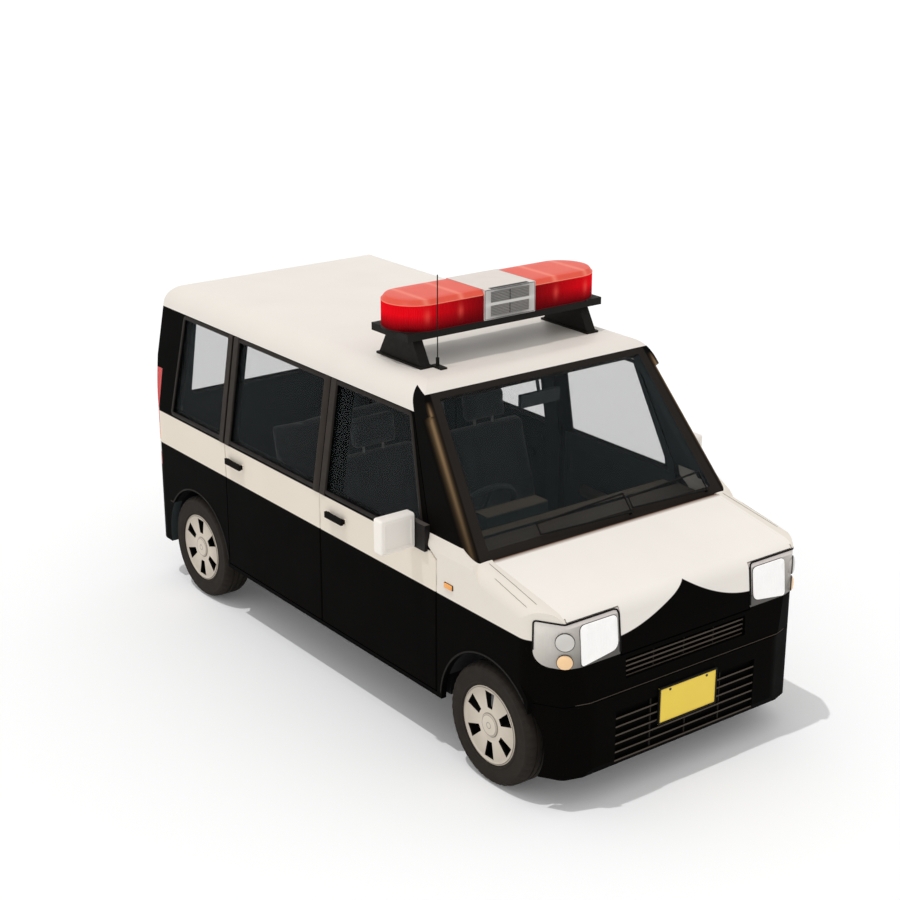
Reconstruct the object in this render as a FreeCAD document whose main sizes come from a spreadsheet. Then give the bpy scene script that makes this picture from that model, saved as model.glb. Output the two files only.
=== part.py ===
"""Police patrol car: a short, tall light van with four side doors and a roof light bar.

Frame: millimetres, +X forward, +Y to the car's left, +Z up. The ground is z = 0 and the origin
lies on it under the middle of the car. The car is right-hand drive.
"""
import FreeCAD
import Part
import math
import os
import re
from types import SimpleNamespace

Vector = FreeCAD.Vector

# Driving dimensions, one line each: alias and value in millimetres, degrees or a plain ratio

SIZES = {
    # Running gear
    "front_axle": 1215.5,
    "wheelbase": 2406,
    "tyre_radius": 266,
    "tyre_width": 155,
    "tyre_shoulder": 30,
    "tyre_bead": 6,
    "tyre_crown": 12,
    "tyre_waist": 222,
    "wheel_inset": 85,
    "rim_radius": 172,
    "rim_wall": 9,
    "cover_back": 20,
    "cover_dish": 8,
    "hub_depth": 92,
    "cap_back": 36,
    "slot_count": 6,
    "slot_low": 76,
    "slot_high": 150,
    "slot_low_half": 15,
    "slot_high_half": 30,
    "hub_radius": 48,
    "spindle_radius": 14,
    "running_gap": 0.05,
    "kingpin_low_inset": 40.5,
    "kingpin_low_height": 180,
    "kingpin_top_inset": 152.5,
    "kingpin_top_height": 700,
    "strut_radius": 20,
    "strut_foot_inset": 104.5,
    "strut_foot_height": 325,
    "tower_height": 707,
    "ball_radius": 7,
    "axle_beam_radius": 32,
    # Body envelope
    "body_half": 737.5,
    "front_face": 1630,
    "rear_face": 1630,
    "sill_height": 264,
    "sill_band": 20,
    "shoulder_height": 930,
    "roof_height": 1575,
    "lean": 0.154,
    "rail_radius": 110,
    "rear_corner": 95,
    "rear_slope": 0.06,
    "wall": 50,
    "roof_wall": 30,
    "skin": 25,
    "gap": 6,
    "hinge_round": 10,
    "hinge_pin": 2.5,
    "hinge_barrel": 4.5,
    "hinge_length": 32,
    "gate_round": 16,
    "corner_lift": 9,
    # Windscreen: the foot of its outer edge and its rake
    "screen_foot": 1112,
    "screen_foot_rise": 17,
    "screen_rake": 0.7925,
    "screen_top_drop": 40,
    "screen_top_edge": 174.5,
    "screen_low_edge": 102.5,
    "screen_edge": 24,
    "frame_depth": 45,
    "screen_strip": 32,
    "pillar_base": 812.5,
    "pillar_base_rise": 66,
    "pillar_tip_back": 84,
    "pillar_tip_drop": 19,
    "pillar_round": 50,
    "glass": 5,
    "glass_inset": 10,
    # Nose
    "bonnet_rise": 25,
    "bonnet_fall": 0.19,
    "bonnet_edge": 97.5,
    "nose_round": 70,
    "nose_face": 1610,
    "bumper_top": 475,
    "bumper_low": 150,
    "bumper_wall": 35,
    "nose_joint": 1478,
    "lamp_low": 645,
    "lamp_high": 838,
    "lamp_corner": 725,
    "lamp_round": 62,
    "lamp_inner_edge": 366.5,
    "lamp_depth": 80,
    "arch_radius": 310,
    "rear_arch_radius": 301,
    "upper_grille_edge": 396.5,
    "upper_grille_low": 528,
    "upper_grille_high": 616,
    "lower_grille_edge": 339.5,
    "lower_grille_low": 172,
    "lower_grille_high": 402,
    "rib": 9,
    # Doors and windows
    "cantrail_drop": 117,
    "door_low": 290,
    "corner_drop": 41,
    "door_split": -20.5,
    "rear_door_end": -874.5,
    "front_door_end": 868.5,
    "window_rise": 15,
    "window_drop": 135,
    "pillar_half": 45,
    "quarter_front": -922.5,
    "quarter_rear": -1407.5,
    "quarter_rear_top": -1362.5,
    # Tailgate and rear end
    "tailgate_edge": 125.5,
    "tailgate_low": 446,
    "tailgate_drop": 83,
    "rear_glass_edge": 207.5,
    "rear_glass_rise": 30,
    "rear_glass_drop": 155,
    "rear_bumper_low": 207,
    "tail_lamp_low": 620,
    "tail_lamp_high": 1140,
    # Underbody
    "rail_side": 330,
    "rail_width": 50,
    "engine_low": 270,
    "engine_high": 690,
    "engine_length": 350,
    "tank_depth": 110,
    # Inside
    "floor_height": 300,
    "floor_wall": 25,
    "load_floor": 480,
    "load_step": -760,
    "firewall": 880,
    "seat_inset": 407.5,
    "driver_inset": 447.5,
    "seat_rise": 100,
    "seat_back_rise": 610,
    "seat_lean": 150,
    "bench_back_rise": 600,
    "bench_lean": 110,
    "seat_width": 470,
    "seat_front": 420,
    "seat_rear": -60,
    "bench_front": -330,
    "bench_rear": -760,
    "bench_end": 207.5,
    "wheel_hub_x": 585,
    "wheel_hub_drop": 25,
    "steering_radius": 180,
    "grip_radius": 14,
    "column_angle": 32,
    "dash_rise": 0,
    "dash_edge": 800,
    "dash_end": 117.5,
    "binnacle_width": 340,
    "shaft_radius": 9,
    # Roof light bar
    "bar_front": 416.5,
    "bar_rear": 144.5,
    "bar_end": 187.5,
    "bar_lift": 120,
    "bar_thick": 34,
    "dome_rise": 138,
    "dome_end": 173.5,
    "dome_overhang": 7,
    "centre_half": 143,
    "louvre_half": 109,
    "louvre_edge": 14,
    "louvre_depth": 12,
    "foot_front": 450,
    "foot_rear": 116.5,
    "foot_inner_edge": 297.5,
    "foot_outer_edge": 230.5,
    "foot_plate": 10,
    # Plates, mirror and wipers
    "plate_width": 330,
    "plate_height": 165,
    "plate_thick": 6,
    "front_plate_low": 267.5,
    "rear_plate_low": 600,
    "mirror_place": 640,
    "mirror_drop": 200,
    "wiper_start": -362,
    "wiper_middle": 140,
    "wiper_end": 598,
    # Door handles and door mirrors, from the shoulder line and the door's edges
    "handle_drop": 82,
    "handle_height": 28,
    "handle_length": 136,
    "handle_stand": 26,
    "handle_foot": 14,
    "front_handle_gap": 73,
    "rear_handle_gap": 34,
    "mirror_base_drop": 17,
    "mirror_base_rise": 99,
    "mirror_base_front": 6,
    "mirror_base_rear": 120,
    "mirror_rise": 139,
    "mirror_front": 68,
    "mirror_depth": 62,
    "mirror_reach": 189.5,
    # Cowl between the bonnet and the windscreen
    "cowl_depth": 18,
    "cowl_lip": 15,
}

doc = FreeCAD.newDocument("patrol_car")
sheet = doc.addObject("Spreadsheet::Sheet", "sizes")
for row, (alias, value) in enumerate(SIZES.items(), start=1):
    sheet.set("A%d" % row, alias)
    sheet.set("B%d" % row, str(value))
    sheet.setAlias("B%d" % row, alias)
doc.recompute()

v = SimpleNamespace(**{alias: float(sheet.get(alias)) for alias in SIZES})

# Widths that follow the body's half width
v.bonnet_half = v.body_half - v.bonnet_edge
v.screen_top_half = v.body_half - v.screen_top_edge
v.screen_low_half = v.body_half - v.screen_low_edge
v.tailgate_half = v.body_half - v.tailgate_edge
v.rear_glass_half = v.body_half - v.rear_glass_edge
v.dash_half = v.body_half - v.dash_end
v.bench_half = v.body_half - v.bench_end
v.lamp_inner = v.body_half - v.lamp_inner_edge
v.upper_grille_half = v.body_half - v.upper_grille_edge
v.lower_grille_half = v.body_half - v.lower_grille_edge
v.seat_side = v.body_half - v.seat_inset
v.driver_side = v.body_half - v.driver_inset
v.bar_half = v.body_half - v.bar_end
v.dome_half = v.body_half - v.dome_end
v.foot_inner = v.body_half - v.foot_inner_edge
v.foot_outer = v.body_half - v.foot_outer_edge
v.wheel_centre = v.body_half - v.wheel_inset
v.kingpin_low = v.wheel_centre - v.kingpin_low_inset
v.kingpin_top = v.wheel_centre - v.kingpin_top_inset
v.strut_foot = v.wheel_centre - v.strut_foot_inset

REAR_AXLE = v.front_axle - v.wheelbase
BIG = 2 * (v.front_face + v.rear_face)
REAR_DOOR_EDGE = v.door_split - v.gap / 2
HINGE_HEIGHTS = (420, 800)
GATE_HINGES = (-380, 380)
BONNET_HINGES = (-480, 480)


# Heights that follow the shoulder line
v.screen_foot_height = v.shoulder_height + v.screen_foot_rise
v.pillar_base_height = v.shoulder_height + v.pillar_base_rise
v.bonnet_height = v.shoulder_height + v.bonnet_rise
v.corner_height = v.shoulder_height - v.corner_drop
v.window_low = v.shoulder_height + v.window_rise
v.rear_glass_low = v.shoulder_height + v.rear_glass_rise
v.dash_top = v.shoulder_height + v.dash_rise
v.wheel_hub_z = v.shoulder_height - v.wheel_hub_drop
v.handle_low = v.shoulder_height - v.handle_drop - v.handle_height / 2

# Heights that follow the cabin floor
v.seat_base = v.floor_height + v.seat_rise
v.seat_high = v.seat_base + v.seat_back_rise
v.bench_high = v.seat_base + v.bench_back_rise

# Heights that follow the roof
v.cantrail = v.roof_height - v.cantrail_drop
v.window_high = v.roof_height - v.window_drop
v.screen_top_height = v.roof_height - v.screen_top_drop
v.pillar_tip_height = v.roof_height - v.pillar_tip_drop
v.tailgate_high = v.roof_height - v.tailgate_drop
v.rear_glass_high = v.roof_height - v.rear_glass_drop
v.mirror_low = v.roof_height - v.mirror_drop
v.bar_low = v.roof_height + v.bar_lift
v.bar_high = v.bar_low + v.bar_thick
v.dome_high = v.bar_high + v.dome_rise


# Drawing helpers

def formula(text):
    """The same formula with every alias read from the sheet."""
    def named(word):
        return "sizes." + word.group() if word.group() in SIZES else word.group()
    return re.sub(r"[a-z_]+", named, text)


def bind(thing, **texts):
    """Bind properties to formulas of the sheet; two underscores stand for a dot."""
    for name, text in texts.items():
        thing.setExpression(name.replace("__", "."), formula(text))
    return thing


def wire_through(corners, place):
    """Closed wire through the corners; a third value on a corner is its radius."""
    stations = []
    for index, corner in enumerate(corners):
        here = Vector(corner[0], corner[1], 0)
        if len(corner) < 3:
            stations.append((here, here, here))
            continue
        before = Vector(*corners[index - 1][:2], 0)
        after = Vector(*corners[(index + 1) % len(corners)][:2], 0)
        back = (before - here).normalize()
        ahead = (after - here).normalize()
        half_angle = back.getAngle(ahead) / 2
        reach = corner[2] / math.tan(half_angle)
        inward = (back + ahead).normalize() * (corner[2] / math.sin(half_angle) - corner[2])
        stations.append((here + back * reach, here + inward, here + ahead * reach))
    edges = []
    for index, (start, middle, end) in enumerate(stations):
        if (end - start).Length > 1e-6:
            edges.append(Part.Arc(place(start), place(middle), place(end)).toShape())
        following = stations[(index + 1) % len(stations)][0]
        if (following - end).Length > 1e-6:
            edges.append(Part.LineSegment(place(end), place(following)).toShape())
    return Part.Wire(edges)


def side_prism(corners, low=-BIG, high=BIG):
    """Prism across the car from an outline of (x, z) corners, from y = low to y = high."""
    wire = wire_through(corners, lambda p: Vector(p.x, low, p.y))
    return Part.Face(wire).extrude(Vector(0, high - low, 0))


def front_prism(corners, low=-BIG, high=BIG):
    """Prism along the car from an outline of (y, z) corners, from x = low to x = high."""
    wire = wire_through(corners, lambda p: Vector(low, p.x, p.y))
    return Part.Face(wire).extrude(Vector(high - low, 0, 0))


def plan_prism(corners, low=-BIG, high=BIG):
    """Upright prism from an outline of (x, y) corners, from z = low to z = high."""
    wire = wire_through(corners, lambda p: Vector(p.x, p.y, low))
    return Part.Face(wire).extrude(Vector(0, 0, high - low))


def block(x_span, y_span, z_span):
    """Box between two x, two y and two z values."""
    size = [abs(span[1] - span[0]) for span in (x_span, y_span, z_span)]
    return Part.makeBox(*size, Vector(min(x_span), min(y_span), min(z_span)))


def rod(start, end, radius):
    """Round bar between two points."""
    axis = end - start
    return Part.makeCylinder(radius, axis.Length, start, axis)


def across(radius, x, z, low, high):
    """Round bar parallel to Y."""
    return rod(Vector(x, low, z), Vector(x, high, z), radius)


def joined(*shapes):
    """One shape from several that meet."""
    return shapes[0].multiFuse(list(shapes[1:])).removeSplitter()


def mirrored(shape):
    """The same shape on the car's left side."""
    return shape.mirror(Vector(0, 0, 0), Vector(0, 1, 0))


PARTS = []


def node(label, shape):
    """Add a finished sub-part under its own label."""
    feature = doc.addObject("Part::Feature", label)
    feature.Label = label
    feature.Shape = shape
    PARTS.append(feature)
    return feature


def both_sides(label, right_shape):
    """Add the right-hand sub-part and its mirror image on the left."""
    node(label + "_right", right_shape)
    node(label + "_left", mirrored(right_shape))


# Body envelope: a cabin block and a nose block, each also made smaller for its inside

def screen_x(z, inset=0):
    """Where the windscreen plane, moved inward by inset, lies at a height."""
    slant = math.hypot(1, v.screen_rake)
    return v.screen_foot - (z - v.screen_foot_height) * v.screen_rake - inset * slant


def rear_x(z, inset=0):
    """Where the rear face lies at a height."""
    return -v.rear_face + inset + max(z - v.shoulder_height, 0) * v.rear_slope


def side_y(z, inset=0):
    """Half width of the body side at a height."""
    return v.body_half - inset - max(z - v.shoulder_height, 0) * v.lean


def bonnet_z(x, inset=0):
    """Height of the bonnet at a place along the car."""
    return v.bonnet_height + (v.screen_foot - x) * v.bonnet_fall - inset


def cabin_block(inset=0, top_inset=0, low=0):
    """Solid of the cabin, moved inward by the insets, from z = low up."""
    roof = v.roof_height - top_inset
    rail_round = max(v.rail_radius - inset, 20)
    side_view = side_prism([
        (screen_x(low, inset), low),
        (screen_x(roof, inset), roof, rail_round),
        (rear_x(roof, inset), roof, rail_round),
        (rear_x(v.shoulder_height, inset), v.shoulder_height),
        (rear_x(low, inset), low)])
    right = [
        (-side_y(low, inset), low),
        (-side_y(v.shoulder_height, inset), v.shoulder_height),
        (-side_y(roof, inset), roof, rail_round)]
    left = [(-corner[0],) + corner[1:] for corner in reversed(right)]
    front_view = front_prism(right + left)
    half = v.body_half - inset
    corner_round = max(v.rear_corner - inset, 20)
    rear = -v.rear_face + inset
    plan = plan_prism([
        (v.front_face, -half),
        (rear, -half, corner_round),
        (rear, half, corner_round),
        (v.front_face, half)])
    return side_view.common(front_view).common(plan)


def nose_block(inset=0, low=0):
    """Solid of the nose in front of the cabin, moved inward by the inset."""
    back = v.pillar_base - 40
    face = v.nose_face - inset
    bumper = v.front_face - inset
    brow_x = v.nose_face - 18
    step = v.bumper_top
    side_view = side_prism([
        (back, low),
        (bumper - 12, low),
        (bumper, low + 30),
        (bumper, step - inset * 0.5),
        (bumper - 8, step + 6 - inset * 0.5),
        (face, 700),
        (brow_x - inset * 0.9, bonnet_z(brow_x, inset), max(75 - inset, 20)),
        (back, bonnet_z(back, inset))])
    half = v.body_half - inset
    nose_round = max(v.nose_round - inset, 15)
    top = bonnet_z(back, inset)
    wire = wire_through([
        (-half, -BIG),
        (-half, top, nose_round),
        (half, top, nose_round),
        (half, -BIG)], lambda p: Vector(back, p.x, p.y))
    length = BIG / 2
    front_view = Part.Face(wire).extrude(Vector(length, 0, -length * v.bonnet_fall))
    corner = v.body_half - 92.5
    right = [(back, -half), (v.nose_joint - 35, -half, 90),
             (v.front_face - 38 - inset, -corner + inset * 0.4, 60), (bumper, 125 - corner, 120)]
    left = [(corner[0], -corner[1]) + corner[2:] for corner in reversed(right)]
    plan = plan_prism(right + left)
    return side_view.common(front_view).common(plan)


CABIN = cabin_block(low=v.rear_bumper_low)
NOSE = nose_block(low=v.bumper_low)
CABIN_HOLLOW = cabin_block(v.wall, v.roof_wall, low=0)
CABIN_SHELL = CABIN.cut(CABIN_HOLLOW)
RIGHT = (-BIG, 0)


# Side openings, as outlines seen from the side

def pillar_x(z):
    """Rear edge of the windscreen pillar at a height."""
    share = (z - v.pillar_base_height) / (v.pillar_tip_height - v.pillar_base_height)
    tip = screen_x(v.screen_top_height) - v.pillar_tip_back
    return v.pillar_base + share * (tip - v.pillar_base)


def front_door_outline(grow=0):
    """Outline of the front door; grow widens it by the running gap."""
    top = v.cantrail - v.gap + grow
    rear = v.door_split + v.gap / 2 - grow
    front = v.front_door_end + grow
    slant = pillar_x(v.pillar_base_height) - v.gap + grow
    return [(rear, v.door_low - grow), (front, v.door_low - grow), (front, v.corner_height),
            (slant, v.shoulder_height), (slant, v.pillar_base_height),
            (pillar_x(top) - v.gap + grow, top), (rear, top)]


def rear_door_outline(grow=0):
    """Outline of the rear door."""
    top = v.cantrail - v.gap + grow
    rear = v.rear_door_end + v.gap / 2 - grow
    front = REAR_DOOR_EDGE + grow
    return [(rear, v.door_low - grow), (front, v.door_low - grow), (front, top), (rear, top)]


def fender_edge():
    """Rear edge of the fender beside the front door, from low to high."""
    front = v.front_door_end + v.gap
    return [(front, v.corner_height + v.corner_lift), (v.pillar_base, v.shoulder_height + v.corner_lift),
            (v.pillar_base, v.pillar_base_height)]


def front_window():
    """Outline of the front door's window."""
    rear = v.door_split + v.gap / 2 + v.pillar_half
    low = v.window_low
    high = v.window_high
    return [(rear, low), (pillar_x(low) - 62, low), (pillar_x(high) - 30, high), (rear, high)]


def rear_window():
    """Outline of the rear door's window."""
    rear = v.rear_door_end + v.gap / 2 + v.pillar_half
    front = REAR_DOOR_EDGE - v.pillar_half
    return [(rear, v.window_low), (front, v.window_low), (front, v.window_high), (rear, v.window_high)]


def quarter_window():
    """Outline of the window behind the rear door."""
    return [(v.quarter_rear, v.window_low), (v.quarter_front, v.window_low),
            (v.quarter_front, v.window_high), (v.quarter_rear_top, v.window_high)]


def pane(outline):
    """Side glass that fills an outline, set in from the outer skin."""
    outer = cabin_block(v.glass_inset, low=v.shoulder_height - 40)
    inner = cabin_block(v.glass_inset + v.glass, low=0)
    return outer.cut(inner).common(side_prism(outline, *RIGHT))


def hinge_line(edge):
    """Where a right-hand door's hinge pins stand: the centre of its rounded leading edge."""
    return edge - v.hinge_round, v.hinge_round - v.body_half


def upright_pin(x, y, z, radius, length):
    """Upright round bar about the height z."""
    return Part.makeCylinder(radius, length, Vector(x, y, z - length / 2))


def hinge_arm(edge, z):
    """Body half of a door hinge: barrel and arm that reach in to the post behind the door."""
    x, y = hinge_line(edge)
    reach = block((x - v.hinge_barrel + 0.5, x + v.hinge_barrel - 0.5), (y, v.wall + v.gap - v.body_half),
                  (z - v.hinge_length / 2, z + v.hinge_length / 2))
    barrel = upright_pin(x, y, z, v.hinge_barrel, v.hinge_length)
    return reach.fuse(barrel).cut(upright_pin(x, y, z, v.hinge_pin + v.running_gap, v.hinge_length))


def hinge_leading_edge(shell, edge):
    """Round a door's leading edge about its hinge pins and let in the hinge pockets and pins."""
    x, y = hinge_line(edge)
    corner = block((x, edge + 1), (y, y - v.hinge_round - 1), (0, v.roof_height))
    shell = shell.cut(corner.cut(Part.makeCylinder(v.hinge_round, v.roof_height, Vector(x, y, 0))))
    for z in HINGE_HEIGHTS:
        pocket = block((x - v.hinge_barrel - 4, edge + 1), (y - v.hinge_barrel - 1.5, v.wall + 1 - v.body_half),
                       (z - v.hinge_length / 2 - v.gap, z + v.hinge_length / 2 + v.gap))
        pin = upright_pin(x, y, z, v.hinge_pin, v.hinge_length + 2 * v.gap + 4)
        shell = shell.cut(pocket).fuse(pin)
    return shell


def door(outline, window, handle_rear, edge):
    """Whole door with its window cut and its pull handle."""
    shell = CABIN_SHELL.common(side_prism(outline, *RIGHT))
    shell = hinge_leading_edge(shell.cut(side_prism(window, *RIGHT)), edge)
    skin = -v.body_half
    foot = v.handle_foot
    end = handle_rear + v.handle_length
    high = v.handle_low + v.handle_height
    bar = block((handle_rear, end), (skin - v.handle_stand, skin - foot), (v.handle_low, high))
    ends = [block((x, x + foot), (skin - foot - 1, skin + 5), (v.handle_low + 4, high - 4))
            for x in (handle_rear, end - foot)]
    return joined(shell, bar, *ends)


def arch(x, radius, low=-BIG, high=BIG):
    """Round cut for a wheel arch."""
    return across(radius, x, v.tyre_radius, low, high)


# Windscreen frame, glass and roof

SCREEN_TOP = screen_x(v.screen_top_height)
FRAME_PRISM = side_prism([
    (v.pillar_base, v.pillar_base_height),
    (pillar_x(v.pillar_tip_height), v.pillar_tip_height),
    (SCREEN_TOP, v.screen_top_height),
    (SCREEN_TOP + 90, v.screen_top_height + 20),
    (v.screen_foot + 90, v.pillar_base_height),
    (v.screen_foot, v.screen_foot_height),
    (v.screen_foot - 75, v.pillar_base_height)])


def screen_outline(depth):
    """Wire of the glass opening, at a depth below the outer face of the windscreen."""
    low = v.screen_foot_height + v.screen_strip
    high = v.screen_top_height - v.screen_edge
    slant = math.hypot(1, v.screen_rake)
    along = depth / slant
    drop = depth * v.screen_rake / slant
    points = [(screen_x(low), -v.screen_low_half, low), (screen_x(low), v.screen_low_half, low),
              (screen_x(high), v.screen_top_half, high), (screen_x(high), -v.screen_top_half, high)]
    return Part.makePolygon([Vector(x - along, y, z - drop) for x, y, z in points + points[:1]])


def screen_slab(start, end):
    """Slab of the glass opening between two depths below the outer face."""
    slant = math.hypot(1, v.screen_rake)
    inward = Vector(-1 / slant, 0, -v.screen_rake / slant)
    return Part.Face(screen_outline(start)).extrude(inward * (end - start))


def pillar_corner():
    """What the rounded right pillar leaves of the sharp corner between the windscreen and the side.

    It ends where the roof's own rounding starts.
    """
    screen = Vector(1, 0, v.screen_rake).normalize()
    side = Vector(0, -1, v.lean).normalize()
    edge = screen.cross(side).normalize()
    if edge.z < 0:
        edge = -edge
    foot = Vector(v.screen_foot, -side_y(v.screen_foot_height), v.screen_foot_height)
    bisector = (screen + side).normalize()
    centre = foot - bisector * (v.pillar_round / bisector.dot(screen))
    start = edge * -200
    length = 200 + (v.roof_height - v.rail_radius - 5 - v.screen_foot_height) / edge.z
    corners = [foot + bisector * 5, centre + screen * v.pillar_round, centre, centre + side * v.pillar_round]
    outline = Part.makePolygon([point + start for point in corners + corners[:1]])
    wedge = Part.Face(outline).extrude(edge * length)
    return wedge.cut(Part.makeCylinder(v.pillar_round, length, centre + start, edge))


def make_screen():
    shell = CABIN.cut(cabin_block(v.frame_depth, v.roof_wall, low=0)).common(FRAME_PRISM)
    corner = pillar_corner()
    shell = shell.cut(corner).cut(mirrored(corner))
    node("windscreen_frame", shell.cut(screen_slab(-60, 120)))
    node("windscreen", screen_slab(4, 4 + v.glass))


def tailgate_prism(grow=0):
    """Region of the tailgate, seen from behind."""
    half = v.tailgate_half + grow
    low = v.tailgate_low - grow
    high = v.tailgate_high + grow
    return front_prism([(-half, low, 30), (half, low, 30), (half - 55, high), (55 - half, high)],
                       -v.rear_face - 50, -v.rear_face + 170)


def make_roof():
    upper = CABIN_SHELL.common(block((-BIG, BIG), (-BIG, BIG), (v.cantrail, 2 * v.roof_height)))
    upper = upper.cut(FRAME_PRISM).cut(tailgate_prism(v.gap))
    x, z = gate_line()
    arms = []
    for y in GATE_HINGES:
        arm = side_prism([(x - v.hinge_barrel, z - v.hinge_barrel), (x + 48, z - v.hinge_barrel),
                          (x + 48, v.roof_height - v.roof_wall + 5), (x + 40, v.roof_height - v.roof_wall + 5),
                          (x + 40, z + v.hinge_barrel), (x - v.hinge_barrel, z + v.hinge_barrel)], y - 14, y + 14)
        arms.append(arm.cut(across(v.hinge_pin + v.running_gap, x, z, y - 15, y + 15)))
    node("roof_panel", joined(upper, *arms))


def gate_line():
    """Where the tailgate's hinge pins lie: the centre of its rounded top edge."""
    return rear_x(v.tailgate_high) + v.gate_round, v.tailgate_high - v.gate_round


def rear_lamp_region():
    """Region of the right tail lamp at the rear corner."""
    return block((-BIG, -v.rear_face + 78), (-BIG, -v.tailgate_half - v.gap - 4),
                 (v.tail_lamp_low, v.tail_lamp_high))


def make_side_frames():
    """Each side is sill, quarter panel, rear pillar and the post between the doors."""
    sill_front = v.front_door_end + v.gap
    sill_top = v.sill_height + v.sill_band
    side = side_prism([(-BIG, v.sill_height), (sill_front, v.sill_height), (sill_front, sill_top),
                       (v.door_split, sill_top), (v.door_split, v.cantrail), (-BIG, v.cantrail)],
                      -BIG, -v.tailgate_half + 60)
    shell = CABIN_SHELL.common(side)
    for outline in (front_door_outline(v.gap), rear_door_outline(v.gap)):
        shell = shell.cut(side_prism(outline, *RIGHT))
    shell = shell.cut(side_prism(quarter_window(), *RIGHT))
    shell = shell.cut(arch(REAR_AXLE, v.rear_arch_radius)).cut(tailgate_prism(v.gap))
    shell = shell.cut(rear_lamp_region())
    shell = shell.cut(block((-BIG, REAR_AXLE - 100), (-BIG, 0), (0, v.tailgate_low - v.gap)))
    inner = v.body_half - v.wall
    rocker = block((v.rear_door_end, v.firewall), (-inner + v.gap, -inner + 60), (v.sill_height, 380))
    sill = block((v.rear_door_end, v.front_door_end), (-inner - 5, -inner + 60),
                 (v.sill_height, v.sill_height + v.sill_band))
    post = cabin_block(v.wall + v.gap, low=v.sill_height).cut(cabin_block(v.wall + v.gap + 40, low=0))
    post = post.common(block((v.door_split - 45, v.door_split + 55), (-BIG, 0), (v.sill_height, v.cantrail)))
    house_end = v.wheel_centre - 107.5
    house_outer = across(v.rear_arch_radius + 8, REAR_AXLE, v.tyre_radius, -inner - 5, -house_end)
    house_inner = across(v.rear_arch_radius - 4, REAR_AXLE, v.tyre_radius, -BIG, -house_end - 12)
    above_sill = block((-BIG, v.load_step - 30), (-BIG, 0), (v.sill_height, BIG))
    house = house_outer.cut(house_inner).common(above_sill)
    house = house.cut(house_inner).cut(across(70, REAR_AXLE, v.tyre_radius, -BIG, 0))
    front_post = block((v.front_door_end - 50, v.front_door_end + 30), (-inner + v.gap, -inner + 60),
                       (v.sill_height, 905))
    arms = [hinge_arm(edge, z) for edge in (v.front_door_end, REAR_DOOR_EDGE) for z in HINGE_HEIGHTS]
    whole = joined(shell, rocker, sill, post, front_post, house, *arms)
    both_sides("side_frame", whole)
    both_sides("quarter_glass", pane(quarter_window()))


def make_doors():
    skin = -v.body_half
    low = v.shoulder_height - v.mirror_base_drop
    foot = block((v.pillar_base - v.mirror_base_rear, v.pillar_base + 4 - v.mirror_base_front),
                 (skin - 16, skin + 12), (low, v.shoulder_height + v.mirror_base_rise))
    front = v.pillar_base - v.mirror_front
    shell = block((front - v.mirror_depth, front), (skin - v.mirror_reach, skin - 10),
                  (low - 1, v.shoulder_height + v.mirror_rise))
    shell = shell.makeFillet(12, shell.Edges)
    front_handle = v.door_split + v.gap / 2 + v.front_handle_gap
    rear_handle = v.rear_door_end + v.gap / 2 + v.rear_handle_gap
    both_sides("door_front", door(front_door_outline(), front_window(), front_handle, v.front_door_end))
    both_sides("door_rear", door(rear_door_outline(), rear_window(), rear_handle, REAR_DOOR_EDGE))
    both_sides("glass_front", pane(front_window()))
    both_sides("glass_rear", pane(rear_window()))
    both_sides("mirror", joined(foot.cut(CABIN), shell))


# Nose: fenders, bonnet, lamps, nose panel and bumper

def bonnet_line():
    """Where the bonnet's hinge pins lie: the centre of its rounded rear edge."""
    x = v.screen_foot + v.gap + v.hinge_round
    return x, bonnet_z(x) - v.hinge_round


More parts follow.
